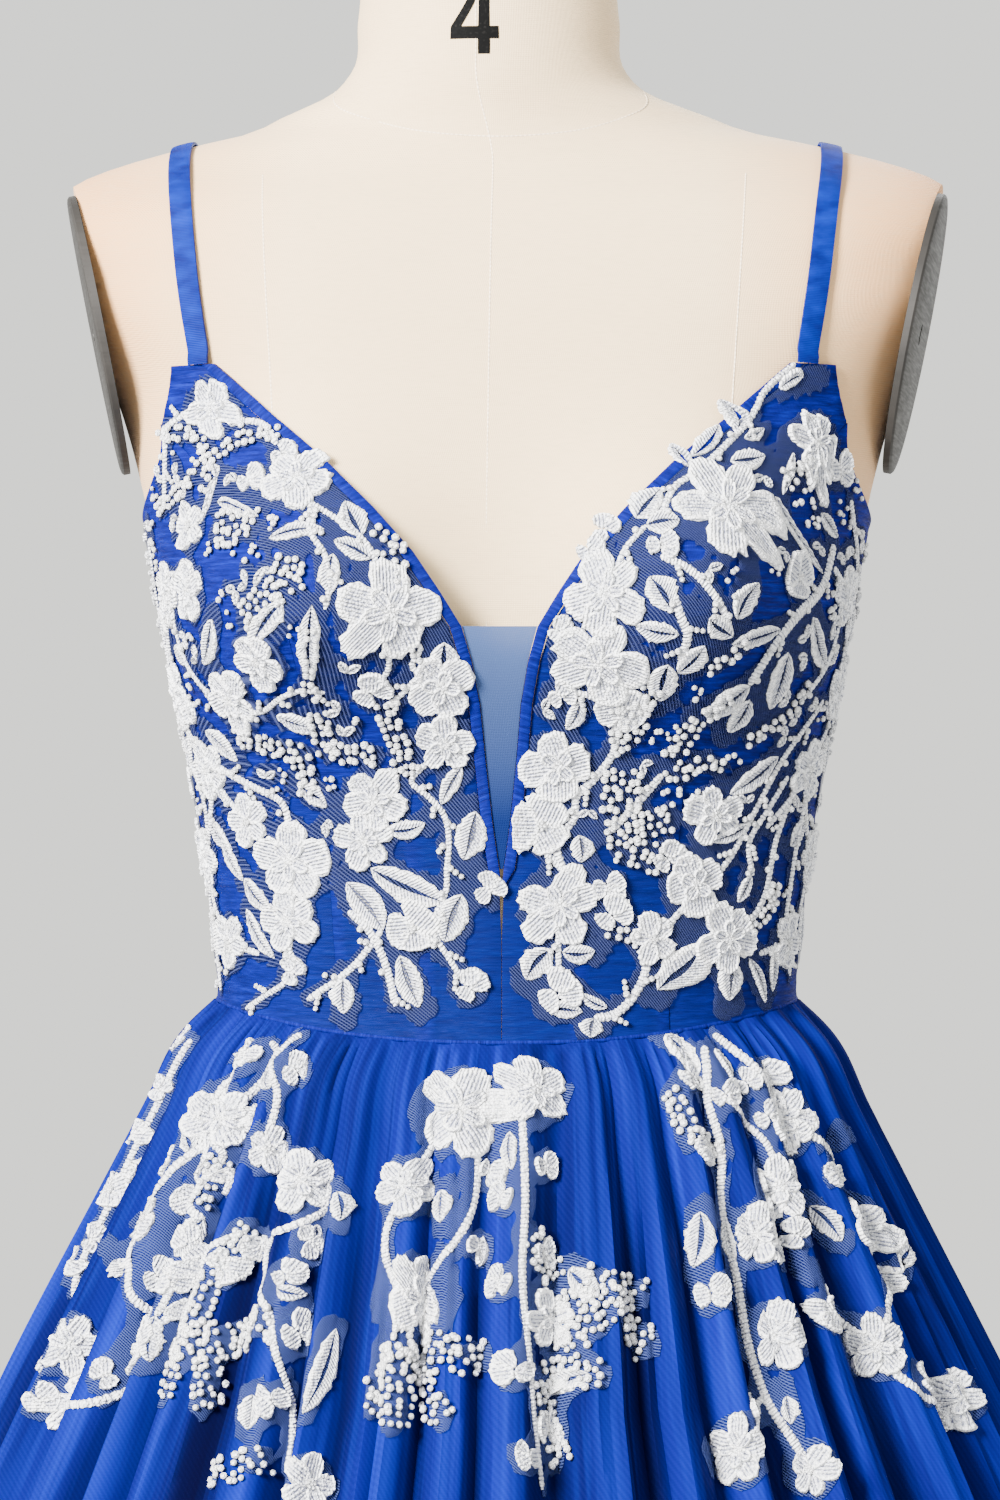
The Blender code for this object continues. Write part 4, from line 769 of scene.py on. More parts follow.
def arm_plate(side, finish):
    """An oval plate with a rounded edge and a shallow well round its screw."""
    rounding = 0.0012
    outline = (
        (0.000, 0.0002), (0.030, 0.0002), (0.036, -0.0006), (0.060, -0.0010), (0.070, -0.0006),
        (0.078, 0.0), (0.96, 0.0), (0.985, -rounding * 0.3), (1.0, -rounding), (1.0, -PLATE_THICK),
    )
    sides = 96
    points = []
    for share, rise in outline:
        for k in range(sides):
            turn = 2 * pi * k / sides
            y = PLATE_DEEP / 2 * cos(turn) * max(share, 1e-4)
            z = PLATE_TALL / 2 * sin(turn) * max(share, 1e-4)
            points.append((side * (PLATE_THICK / 2 + rise), y, z))
    faces = ring_faces(len(outline), sides)
    if side < 0:
        faces = [tuple(face[::-1]) for face in faces]
    place = plate_frame(side, PLATE_THICK / 2 + SEAM_GAP)
    points = [place @ Vector(point) for point in points]
    made = new_object(f"arm_plate_{SIDE_WORD[side]}", points, faces, finish, smooth_angle=30)
    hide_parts(f"form_arm_plate_{SIDE_WORD[side]}")
    return made


def turned(name, profile, steps, finish):
    """A profile of radius and height, from the top's middle to the foot's, turned round."""
    points = []
    for radius, height in profile:
        for k in range(steps):
            turn = 2 * pi * k / steps
            points.append((radius * cos(turn), radius * sin(turn), height))
    faces = [tuple(face[::-1]) for face in ring_faces(len(profile), steps)]
    return new_object(name, points, faces, finish, smooth_angle=30)


def form_stand(finish):
    pole_foot = 0.046
    base = (
        (0.0002, pole_foot), (0.0250, pole_foot), (0.0262, pole_foot - 0.0006), (0.0275, 0.0435),
        (0.0310, 0.0390), (0.0360, 0.0345), (0.0460, 0.0300), (0.0600, 0.0260), (0.0900, 0.0222),
        (0.1200, 0.0193), (0.1500, 0.0170), (0.1880, 0.0140), (0.1950, 0.0122), (0.1985, 0.0098),
        (BASE_RADIUS, 0.0070), (BASE_RADIUS, 0.0012), (0.1988, 0.0), (0.0002, 0.0),
    )
    made = turned("stand_base", base, 128, finish)
    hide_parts("form_base")
    top = TORSO_FOOT - SEAM_GAP
    foot = pole_foot + SEAM_GAP
    pole = (
        (0.0002, top), (POLE_RADIUS, top), (POLE_RADIUS, foot + 0.0008),
        (POLE_RADIUS - 0.0008, foot), (0.0002, foot),
    )
    rod = turned("stand_pole", pole, 64, finish)
    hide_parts("form_pole")
    return [made, rod]


def neck_cap(finish):
    columns = 128
    rings = (
        (0.0, 1.0), (0.0040, 1.0), (0.0052, 0.992), (0.0062, 0.972), (0.0070, 0.93),
        (0.0077, 0.80), (0.0080, 0.5), (0.0081, 0.02),
    )
    angles = np.arange(columns) * 2 * pi / columns
    edge = form_point(angles, np.full(columns, NECK_TOP))
    middle = np.array((NECK_SHIFT, 0, NECK_TOP))
    points = []
    for rise, share in rings:
        ring = middle + (edge - middle) * share * 0.985
        ring[:, 2] = NECK_TOP + SEAM_GAP + rise
        points.append(ring)
    faces = ring_faces(len(rings), columns)
    made = new_object("neck_plate", np.concatenate(points), faces, finish, smooth_angle=35)
    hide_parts("form_neck_cap")
    return made


# Where the numeral stands on the neck: left edge, foot and top in the picture's units.
NUMERAL_LEFT = 455
NUMERAL_FOOT = 54
NUMERAL_WIDE = 46
NUMERAL_TALL = 70
# The numeral's strokes as shares of its width and height: corners of each, from the foot.
NUMERAL_STROKES = (
    ((0.58, 0.0), (0.82, 0.0), (0.82, 1.0), (0.58, 1.0)),
    ((0.0, 0.22), (1.0, 0.22), (1.0, 0.40), (0.0, 0.40)),
    ((0.0, 0.40), (0.22, 0.40), (0.70, 1.0), (0.52, 1.0)),
)
INK_LIFT = 0.00025
INK_FOOT = 0.00002
# How far the neck's front stands before the form's middle.
NECK_FRONT = 0.052


def on_neck(across, down, lift):
    """Points on the neck's front from places in the picture."""
    share = PICTURE_UNIT * (1 - NECK_FRONT / EYE_AWAY)
    x = (across - PICTURE_MIDDLE[0]) * share
    z = EYE_HEIGHT + (PICTURE_MIDDLE[1] - down) * share
    half = smooth(SECTIONS, 1, z)
    angle = np.arcsin(np.clip((x - NECK_SHIFT) / half, -1, 1))
    points = form_point(angle, z)
    points[..., 0] += np.sin(angle) * lift
    points[..., 1] -= np.cos(angle) * lift
    return points


def numeral(finish):
    parts = Parts()
    cells = 8
    for index, stroke in enumerate(NUMERAL_STROKES):
        low_left, low_right, high_right, high_left = (np.array(corner) for corner in stroke)
        s, t = np.meshgrid(np.linspace(0, 1, cells + 1), np.linspace(0, 1, cells + 1))
        s, t = s[..., None], t[..., None]
        low = low_left * (1 - s) + low_right * s
        spots = low * (1 - t) + (high_left * (1 - s) + high_right * s) * t
        across = NUMERAL_LEFT + spots[..., 0] * NUMERAL_WIDE
        down = NUMERAL_FOOT - spots[..., 1] * NUMERAL_TALL
        lift = INK_LIFT * (1 + 0.2 * index)
        outer = on_neck(across, down, lift)
        inner = on_neck(across, down, INK_FOOT)
        points = np.concatenate((outer.reshape(-1, 3), inner.reshape(-1, 3)))
        parts.add(points, shell_faces(cells + 1, cells + 1))
    return parts.made("size_numeral", finish)


SEAM_RADIUS = 0.00042
SEAM_SIDES = 6
# How far the seams stop short of the cover's ends.
SEAM_SHORT = 0.001
SHOULDER_SEAM_TOP = 1.398
SIDE_SEAM_TOP = 1.262
# The seam over bust and back: height, distance from the middle.
SHOULDER_SEAM = ((0.70, 0.088), (1.0, 0.070), (1.213, 0.092), (SHOULDER_SEAM_TOP, 0.104))


def form_seams(finish):
    """The cover's seams: down the middles, over the bust and the back, and round the neck."""
    parts = Parts()
    turn = 0.02
    rise = 0.002

    def line(angles, heights):
        path = form_point(angles, heights)
        around = form_point(angles + turn, heights) - form_point(angles - turn, heights)
        upward = form_point(angles, heights + rise) - form_point(angles, heights - rise)
        ups = unit(np.cross(around, upward))
        path = path - ups * SEAM_RADIUS * 0.35
        radii = np.full(len(path), SEAM_RADIUS)
        points, faces = tube(path, radii, radii, ups, SEAM_SIDES)
        place = np.zeros_like(points)
        place[:, 1] = np.repeat(lengths(path[:, None], 0)[:, 0], SEAM_SIDES)
        parts.add(points, faces, place)

    foot = TORSO_FOOT + SEAM_SHORT
    heights = np.linspace(foot, NECK_TOP - SEAM_SHORT, 220)
    line(angle_at(np.interp(heights, (1.25, 1.45), (-0.006, -0.004)), heights, 0.0), heights)
    line(np.full_like(heights, pi), heights)
    shoulder = np.linspace(foot, SHOULDER_SEAM_TOP, 180)
    for side in SIDE_WORD:
        angles = angle_at(straight(SHOULDER_SEAM, 1, shoulder) * side, shoulder, 0.0)
        line(angles, shoulder)
        line(pi - angles, shoulder)
        line(np.full(150, side * pi / 2), np.linspace(foot, SIDE_SEAM_TOP, 150))
    angles = np.linspace(0, 2 * pi, 181)
    line(angles, 1.4135 + 0.026 * np.sin(angles) ** 2)
    return parts.made("form_seams", finish)


# ---- the bodice ----
def neck_half(z):
    return straight(NECKLINE, 1, z)


def edge_inset(z):
    """Width along X that the binding takes up, wider where the neckline runs more level."""
    step = 0.004
    run = (neck_half(z + step) - neck_half(z - step)) / (2 * step)
    share = np.minimum(1.0, (z - NECKLINE[0][0]) / 0.008 + 0.1)
    return BINDING_WIDTH * share * np.sqrt(1 + run * run)


def row_height(row, low, top):
    """Height of a row of points on a panel whose edges lie at low and top."""
    seam_low = waist_height(radians(PRINCESS[0][1])) + WAIST_GAP
    level = max(LEVELS[row], seam_low)
    if 0 < row < FIXED_ROWS:
        share = (LEVELS[row] - LEVELS[0]) / (LEVELS[FIXED_ROWS] - LEVELS[0])
        level = seam_low + share * (LEVELS[FIXED_ROWS] - seam_low)
    return low + (level - seam_low) * (top - low) / (PRINCESS_TOP - seam_low)


def side_top(angle):
    """Height of the armhole edge between the princess seam and the side seam."""
    start = radians(PRINCESS[-2][1])
    share = np.clip((angle - start) / (radians(SIDE_ANGLE) - start), 0.0, 1.0)
    return ARMHOLE_LOW + (PRINCESS_TOP - ARMHOLE_LOW) * (1 - share) ** 1.5


def back_top(angle):
    return BACK_TOP + (ARMHOLE_LOW - BACK_TOP) * np.abs(np.sin(angle)) ** 1.2


def seam_turn(angle, z, sign):
    """An angle moved by half a seam's gap."""
    turn = 0.01
    step = bodice_point(angle + turn, z, BODICE_OUT) - bodice_point(angle - turn, z, BODICE_OUT)
    return angle + sign * SEAM_GAP * turn / np.linalg.norm(step, axis=-1)


def front_place(across, row):
    if row >= FIXED_ROWS:
        z = np.full_like(across, LEVELS[row])
        half = neck_half(z) + edge_inset(z) + SEAM_GAP
    else:
        z = np.full_like(across, row_height(row, waist_height(0.0) + WAIST_GAP, PRINCESS_TOP))
        half = np.full_like(across, SEAM_GAP / 2)
    inner = angle_at(half, z, BODICE_OUT)
    outer = seam_turn(np.radians(straight(PRINCESS, 1, z)), z, -1)
    angle = inner + across * (outer - inner)
    if row < FIXED_ROWS:
        z = row_height(row, waist_height(angle) + WAIST_GAP, PRINCESS_TOP)
    return angle, z


def side_place(across, row):
    start = radians(PRINCESS[-2][1])
    turned_to = start + across * (radians(SIDE_ANGLE) - start)
    foot = radians(PRINCESS[0][1]) + across * (radians(SIDE_ANGLE) - radians(PRINCESS[0][1]))
    z = row_height(row, waist_height(foot) + WAIST_GAP, side_top(turned_to))
    inner = seam_turn(np.radians(straight(PRINCESS, 1, np.minimum(z, PRINCESS_TOP))), z, 1)
    outer = seam_turn(np.full_like(z, radians(SIDE_ANGLE)), z, -1)
    return inner + across * (outer - inner), z


def back_place(across, row):
    turned_to = radians(SIDE_ANGLE) + across * (pi - radians(SIDE_ANGLE))
    z = row_height(row, waist_height(turned_to) + WAIST_GAP, back_top(turned_to))
    inner = seam_turn(np.full_like(z, radians(SIDE_ANGLE)), z, 1)
    outer = pi - angle_at(ZIP_HALF_WIDTH + SEAM_GAP, z, BODICE_OUT)
    return inner + across * (outer - inner), z


PANEL_COLUMNS = 28
PANEL_STEPS = 11
CRINKLE_DEEP = 0.00022
SEAM_TUCK = 0.0007
SEAM_TUCK_WIDTH = 0.0022
HEM_ROLL = 0.0006
HEM_ROLL_WIDTH = 0.0022
BONE_HIGH = 0.0005
BONE_WIDTH = 0.0035
# Boning channels: across the front panel as a share of its width, top height.
BONES = ((0.98, 1.20), (0.45, 1.14))
# Three sizes of wrinkle: length, bends round the body, share of the depth.
WRINKLES = ((0.0061, 5.0, 0.45), (0.0043, 9.0, 0.35), (0.0031, 14.0, 0.3))


def crinkled(angle, z):
    """Long shallow wrinkles that run round the bodice."""
    waves = np.zeros_like(z)
    for length, bend, share in WRINKLES:
        course = z / length + 0.9 * np.sin(angle * bend)
        course += 0.5 * np.sin(angle * bend * 2.3 + z * 60)
        waves += share * np.sin(2 * pi * course)
    return waves * CRINKLE_DEEP


def sheerness(x, z):
    """How far the form shows through: below the cups and towards the middle."""
    low = 1 - ease(1.105, 1.165, z)
    middle = (1 - ease(0.030, 0.060, np.abs(x))) * (1 - ease(1.20, 1.24, z)) * 0.8
    side = 1 - 0.65 * ease(0.06, 0.12, np.abs(x))
    return np.clip(np.maximum(low * 0.75 * side, middle * 0.8), 0, 1)


def bodice_panel(name, side, rows, place, finish):
    across = np.linspace(0, 1, PANEL_COLUMNS + 1)
    places = np.array([place(across, row) for row in range(rows)])
    angle = refined(places[:, 0], PANEL_STEPS) * side
    z = refined(places[:, 1], PANEL_STEPS)
    plain = bodice_point(angle, z, BODICE_OUT)
    x_way = lengths(plain, 1)
    y_way = lengths(plain, 0)
    edge = np.minimum(x_way, x_way[:, -1:] - x_way)
    tuck = SEAM_TUCK * np.exp(-((edge / SEAM_TUCK_WIDTH) ** 2))
    ends = (y_way, y_way[-1:] - y_way)
    roll = HEM_ROLL * sum(np.exp(-((away / HEM_ROLL_WIDTH) ** 2)) for away in ends)
    still = ease(0.0, 0.004, np.minimum(*ends))
    bones = np.zeros_like(z)
    if place is front_place:
        for share, top in BONES:
            off = x_way - share * x_way[:, -1:]
            ridge = np.exp(-((off / BONE_WIDTH) ** 4))
            bones = np.maximum(bones, ridge * (1 - ease(top - 0.02, top, z)))
    out = BODICE_OUT + crinkled(angle, z) * still - tuck + roll * 0.5 + bones * BONE_HIGH
    outer = bodice_point(angle, z, out)
    inner = bodice_point(angle, z, BODICE_CLEAR)
    mask = sheerness(plain[..., 0], z) * (1 - 0.5 * bones)
    cloth = np.stack((x_way, z - WAIST_FRONT, mask), axis=-1)
    return sided_shell(side, name, outer, inner, cloth, finish)


STRIP_COLUMNS = 8
STRIP_ROUNDING = 0.0004


def strip(name, table, outs, side, finish):
    """A narrow rounded band along rows of (first angle, last angle, height)."""
    table = refined(np.array(table), PANEL_STEPS)
    share = np.linspace(0, 1, STRIP_COLUMNS + 1)
    angle = (table[:, :1] * (1 - share) + table[:, 1:2] * share) * side
    z = np.repeat(table[:, 2:], STRIP_COLUMNS + 1, axis=1)
    crown = STRIP_ROUNDING * (1 - (2 * share - 1) ** 4)[None, :]
    outer = bodice_point(angle, z, outs[0] - STRIP_ROUNDING + crown)
    inner = bodice_point(angle, z, outs[1])
    return sided_shell(side, name, outer, inner, plain_cloth(outer), finish)


def neck_binding(side, finish):
    table = []
    for z in LEVELS[FIXED_ROWS:]:
        half = neck_half(z)
        first = angle_at(half, z, BODICE_OUT)
        table.append((first, angle_at(half + edge_inset(z), z, BODICE_OUT), z))
    outs = (BODICE_OUT + 0.0009, BODICE_CLEAR - 0.0002)
    made = strip(f"binding_{SIDE_WORD[side]}", table, outs, side, finish)
    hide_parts(f"neck_binding_{SIDE_WORD[side]}")
    return made


def mesh_insert(finish):
    columns = 16
    table = []
    for z in LEVELS[FIXED_ROWS + 1 : LEVELS.index(INSERT_TOP) + 1]:
        half = max(float(neck_half(z)) - SEAM_GAP, SEAM_GAP)
        table.append((float(angle_at(half, z, BODICE_OUT)), z))
    table = refined(np.array(table), PANEL_STEPS)
    share = np.linspace(-1, 1, columns + 1)
    angle = table[:, :1] * share
    z = np.repeat(table[:, 1:], columns + 1, axis=1)
    outer = bodice_point(angle, z, BODICE_OUT - 0.0004)
    inner = bodice_point(angle, z, BODICE_OUT - 0.0007)
    made = shell("sheer_insert", outer, inner, plain_cloth(outer), finish)
    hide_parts("mesh_insert")
    return made


PIPING_RADIUS = 0.0011
PIPING_SIDES = 10
# The turn on each side of the back's middle that the piping leaves to the zip.
PIPING_SHORT = 0.03


def waist_piping(finish):
    """The thin piped seam between the bodice and the skirt, open at the zip."""
    angles = np.linspace(PIPING_SHORT - pi, pi - PIPING_SHORT, 361)
    height = waist_height(angles)
    path = bodice_point(angles, height, BODICE_OUT - 0.0002)
    ups = bodice_normal(angles, height)
    radii = np.full(len(angles), PIPING_RADIUS)
    points, faces = tube(path, radii, radii * 0.9, ups, PIPING_SIDES)
    place = np.zeros_like(points)
    place[:, 0] = np.tile(np.arange(PIPING_SIDES) * PIPING_RADIUS * 0.6, len(angles))
    place[:, 1] = np.repeat(lengths(path[:, None], 0)[:, 0], PIPING_SIDES)
    return new_object("waist_piping", points, faces, finish, place)


TOOTH_STEP = 0.0022
TOOTH_HALF = (0.0008, 0.0004, 0.0006)
BOX_FACES = (
    (0, 1, 3, 2), (4, 6, 7, 5), (0, 4, 5, 1), (2, 3, 7, 6), (0, 2, 6, 4), (1, 5, 7, 3),
)
# The slider's body and its pull: half width, half height, way down, thickness.
SLIDER = ((0.0024, 0.0036, 0.0, 0.0009), (0.0016, 0.0058, -0.0085, 0.0005))
SLIDER_SIDES = 12


def back_zip(tape_finish, tooth_finish):
    table = []
    for row in range(SEAM_ROWS):
        z = float(row_height(row, waist_height(pi) + WAIST_GAP, BACK_TOP))
        half = float(angle_at(ZIP_HALF_WIDTH, z, BODICE_OUT))
        table.append((pi - half, pi + half, z))
    tape = strip("zip_tape", table, (BODICE_OUT + 0.0002, BODICE_CLEAR), 1, tape_finish)
    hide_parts("back_zip")
    low = table[0][2] + 0.002
    top = table[-1][2] - 0.006
    teeth = Parts()
    corners = np.array([(x, y, h) for x in (-1, 1) for y in (-1, 1) for h in (-1, 1)]) * TOOTH_HALF
    for k in range(int((top - low) / TOOTH_STEP)):
        centre = bodice_point(pi, low + k * TOOTH_STEP, BODICE_OUT + 0.0004)
        aside = 0.0004 if k % 2 else -0.0004
        teeth.add(centre + corners + np.array((aside, 0, 0)), BOX_FACES)
    centre = bodice_point(pi, top + 0.003, BODICE_OUT + 0.0009)
    turns = np.arange(SLIDER_SIDES) * 2 * pi / SLIDER_SIDES
    for half_wide, half_tall, drop, deep in SLIDER:
        ring = (half_wide * np.cos(turns), np.zeros(SLIDER_SIDES), half_tall * np.sin(turns) + drop)
        near = centre + np.stack(ring, axis=1)
        points = np.concatenate((near, near + np.array((0, deep, 0))))
        teeth.add(points, ring_faces(2, SLIDER_SIDES))
    return [tape, teeth.made("zip_teeth", tooth_finish, 30)]


# ---- the straps ----
STRAP_STATIONS = 90
STRAP_ACROSS = 8
# Degrees by which its ends run on into the seams at the peak and the back.
STRAP_TUCK = 1.3
# At the front it laps further over the peak, and so lies higher.
STRAP_FRONT_TUCK = 2.6
STRAP_LAP = 0.0012
STRAP_CROWN = 0.0003


def strap(side, torso_tree, finish):
    start = STRAP_ROUTE[0][0] - STRAP_FRONT_TUCK
    stop = STRAP_ROUTE[-1][0] + STRAP_TUCK
    rows = []
    for i in range(STRAP_STATIONS):
        turn = start + (stop - start) * i / (STRAP_STATIONS - 1)
        x = float(smooth(STRAP_ROUTE, 1, turn)) * side
        towards = Vector((0, -cos(radians(turn)), sin(radians(turn))))
        middle = Vector((x, STRAP_AXIS.y, STRAP_AXIS.z))
        hit, normal, _, _ = torso_tree.ray_cast(middle + towards * 0.4, -towards)
        rows.append((*hit, *normal))
    rows = np.array(rows)
    centres = rows[:, :3]
    normals = rows[:, 3:]
    for _ in range(6):
        normals[1:-1] = (normals[:-2] + normals[1:-1] * 2 + normals[2:]) / 4
        centres[1:-1] = (centres[:-2] + centres[1:-1] * 2 + centres[2:]) / 4
    along = unit(np.gradient(centres, axis=0))
    across = unit(np.cross(unit(normals), along))
    up = unit(np.cross(along, across))
    up *= np.sign(np.sum(up * normals, axis=1, keepdims=True))
    share = np.linspace(-1, 1, STRAP_ACROSS + 1)
    width = STRAP_WIDTH / 2
    sides = centres[:, None] + across[:, None] * share[None, :, None] * width
    crown = (STRAP_CROWN * (1 - share**4))[None, :, None]
    turns = np.linspace(start, stop, STRAP_STATIONS)
    front = STRAP_ROUTE[0][0]
    lap = STRAP_LAP * (1 - ease(front - 0.5, front + 2.0, turns))[:, None, None]
    outer = sides + up[:, None] * (STRAP_CLEAR + STRAP_THICK - STRAP_CROWN + crown + lap)
    inner = sides + up[:, None] * (STRAP_CLEAR + lap)
    if np.dot(np.cross(outer[0, 1] - outer[0, 0], outer[1, 0] - outer[0, 0]), up[0]) < 0:
        outer, inner = outer[:, ::-1], inner[:, ::-1]
    made = shell(f"shoulder_strap_{SIDE_WORD[side]}", outer, inner, plain_cloth(outer), finish)
    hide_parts(f"strap_{SIDE_WORD[side]}")
    return made


# ---- the skirt ----
# The width of cloth that a fold takes up at the waist, for the streaks that run down it.
FOLD_PITCH = 0.022
FOLD_STEPS = 14
DROP_ROWS = 90
DROP_POWER = 1.35
SKIRT_SHELL = 0.0009
FOLD_WANDER = 0.16
CREASE_DEEP = 0.0036
PLEAT_DEEP = 0.0026
PLEAT_FADE = 0.070
PLEATS_PER_FOLD = 3.4


def fold_angle(u, drop):
    """Degrees round from the front for a place counted in folds."""
    whole = len(FOLDS)
    table = []
    for k in range(-2, whole + 3):
        table.append((k, FOLDS[k % whole][0] + 360 * (k // whole), FOLDS[k % whole][2]))
    return smooth(table, 1, u) + smooth(table, 2, u) * drop / SKIRT_LENGTH


def fold_share(u):
    whole = len(FOLDS)
    shares = np.array([row[1] for row in FOLDS])
    k = np.floor(u).astype(int)
    bend = (1 - np.cos(pi * (u - k))) / 2
    return shares[k % whole] * (1 - bend) + shares[(k + 1) % whole] * bend


def fold_wave(u, drop):
    """1 on a fold's crest, down to -1 in the valley beside it."""
    wander = FOLD_WANDER * ease(0.0, 0.12, drop) * np.sin(2.3 * u + 1.1 * np.sin(0.9 * u))
    return 2 * (np.cos(pi * (u + wander)) ** 2 + 0.02) ** 0.65 - 1


def pleating(u, drop):
    """The fine pleats of the gathered waist, which fade down the skirt."""
    course = pi * PLEATS_PER_FOLD * u + 1.3 * np.sin(1.9 * u) + 0.8 * np.sin(4.1 * u + 1)
    pleat = np.abs(np.sin(course))
    strong = 0.35 + 0.65 * np.sin(1.3 * u + 0.5) ** 2
    return (pleat - 0.6) * strong * np.exp(-drop / PLEAT_FADE) * ease(0.0, 0.006, drop)


def fold_depth(u, drop):
    """0 on the crests and 1 in the deepest valleys and the waist's pleats, for the cloth's painted highlight
    on the crests and painted shade in the valleys.
    """
    share = (1 - fold_wave(u, drop)) / 2 * ease(0.01, 0.12, drop)
    fine = np.clip(0.35 - pleating(u, drop) * 1.4, 0, 1) * np.exp(-drop / PLEAT_FADE)
    return np.clip(share + fine, 0, 1)


# How far down the skirt leans in to the bodice, and how far it stays outside its edge.
WAIST_TUCK = 0.016
WAIST_STEP = 0.0007


def waist_ring():
    """The bodice's lower edge as bearings round the body and distances from its axis."""
    angle = np.linspace(-pi, pi, 721)
    ring = bodice_point(angle, waist_height(angle), BODICE_OUT)
    bearing = np.arctan2(ring[:, 0], -ring[:, 1])
    order = np.argsort(bearing)
    return bearing[order], np.hypot(ring[order, 0], ring[order, 1])


WAIST_RING = waist_ring()


def waist_lean(u, drop):
    """The share by which the skirt's top leans in, so that it meets the bodice's edge."""
    angle = np.radians(fold_angle(u, np.zeros_like(u)))
    half = SKIRT_PROFILE[0][1]
    power = 2 / (2 + WAIST_SQUARER)
    x = half * signed_power(np.sin(angle), power)
    y = (half - SKIRT_FLATTER) * signed_power(np.cos(angle), power)
    far = np.hypot(x, y)
    slot = far - WAIST_STEP - np.interp(np.arctan2(x, y), *WAIST_RING, period=2 * pi)
    return 1 - np.maximum(slot, 0) / far * (1 - ease(0, WAIST_TUCK, drop))


def skirt_point(u, drop):
    """The skirt's outer face: u counts folds round it, drop runs down from the waist."""
    u, drop = np.broadcast_arrays(np.asarray(u, float), np.asarray(drop, float))
    angle = np.radians(fold_angle(u, drop))
    half = smooth(SKIRT_PROFILE, 1, drop)
    depth = straight(SKIRT_PROFILE, 2, drop) * fold_share(u)
    wave = fold_wave(u, drop)
    gather = GATHER_DEPTH * np.cos(2 * pi * u) * np.maximum(0.0, 1 - drop / GATHER_FADE)
    fall = drop / SKIRT_LENGTH
    crease = np.sin(2 * pi * (1.9 * u + 0.35 * np.sin(1.3 * u) + 0.25 * fall))
    crease += 0.6 * np.sin(2 * pi * (3.3 * u + 0.5 * np.sin(0.7 * u + 1.0) - 0.3 * fall))
    crease *= CREASE_DEEP * ease(0.0, 0.35, fall) * (0.6 + 0.4 * np.sin(2.1 * u + 3 * fall))
    reach = depth * (wave - 1) + gather + crease + pleating(u, drop) * PLEAT_DEEP
    power = 2 / (2 + WAIST_SQUARER * np.maximum(0.0, 1 - drop / WAIST_SQUARE_FADE))
    x = half * signed_power(np.sin(angle), power) + reach * np.sin(angle)
    y = -(half - SKIRT_FLATTER) * signed_power(np.cos(angle), power) - reach * np.cos(angle)
    lean = waist_lean(u, drop)
    waist = waist_height(angle) - SEAM_GAP / 2
    z = waist + (HEM_HEIGHT - waist) * fall
    return np.stack((x * lean, y * lean, z), axis=-1)


DROPS = SKIRT_LENGTH * np.linspace(0, 1, DROP_ROWS + 1)[:, None] ** DROP_POWER


def skirt_grid(first, last):
    """Points and outward normals of the outer face between two places, top row first."""
    steps = int(round((last - first) * FOLD_STEPS))
    extra = np.linspace(first - 1 / FOLD_STEPS, last + 1 / FOLD_STEPS, steps + 3)
    points = skirt_point(extra[None, :], DROPS)
    normals = -grid_normals(points)
    return points[:, 1:-1], normals[:, 1:-1]


def skirt_panel(name, first, last, finish):
    points, normals = skirt_grid(first, last)
    points = points.copy()
    for end, near in ((0, 1), (-1, -2)):
        along = unit(points[:, near] - points[:, end])
        points[:, end] += along * SEAM_GAP / 2
    inner = points - normals * SKIRT_SHELL
    folds = np.linspace(first, last, points.shape[1])[None, :] + np.zeros(points.shape[:2])
    # The mask is the fold's depth, which sets the tulle's painted shade and painted highlight.
    cloth = np.stack((folds * FOLD_PITCH, lengths(points, 0), fold_depth(folds, DROPS)), axis=-1)
    made = shell(f"{name}_cloth", points[::-1], inner[::-1], cloth[::-1], finish)
    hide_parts(name)
    return made


# ---- the lace ----
# Flowers: across, down, radius, petals (0 for a bud).
BODICE_FLOWERS = (
    (213, 408, 27, 5), (297, 480, 30, 5), (191, 526, 21, 5), (389, 612, 44, 5), (191, 591, 25, 5),
    (258, 660, 26, 5), (232, 699, 29, 5), (441, 686, 30, 4), (445, 743, 25, 5), (374, 800, 28, 5),
    (364, 839, 26, 5), (249, 821, 22, 5), (292, 860, 36, 5), (289, 921, 28, 5), (283, 455, 12, 0),
    (251, 481, 14, 0), (191, 712, 13, 0), (293, 972, 13, 0), (490, 889, 15, 0), (470, 987, 15, 0),
    (412, 928, 20, 3), (370, 691, 17, 0), (606, 593, 33, 5), (599, 662, 42, 5), (558, 766, 30, 4),
    (560, 905, 35, 5), (727, 507, 46, 6), (815, 444, 27, 6), (714, 815, 27, 5), (652, 939, 21, 5),
    (727, 938, 30, 5), (694, 884, 28, 4), (541, 825, 23, 3), (622, 708, 21, 3), (560, 630, 12, 0),
    (561, 694, 13, 0), (557, 993, 20, 0), (612, 915, 17, 0), (607, 888, 15, 0), (661, 546, 14, 0),
    (605, 530, 13, 0), (590, 551, 13, 0), (797, 577, 19, 3), (667, 858, 15, 0), (838, 470, 17, 0),
)
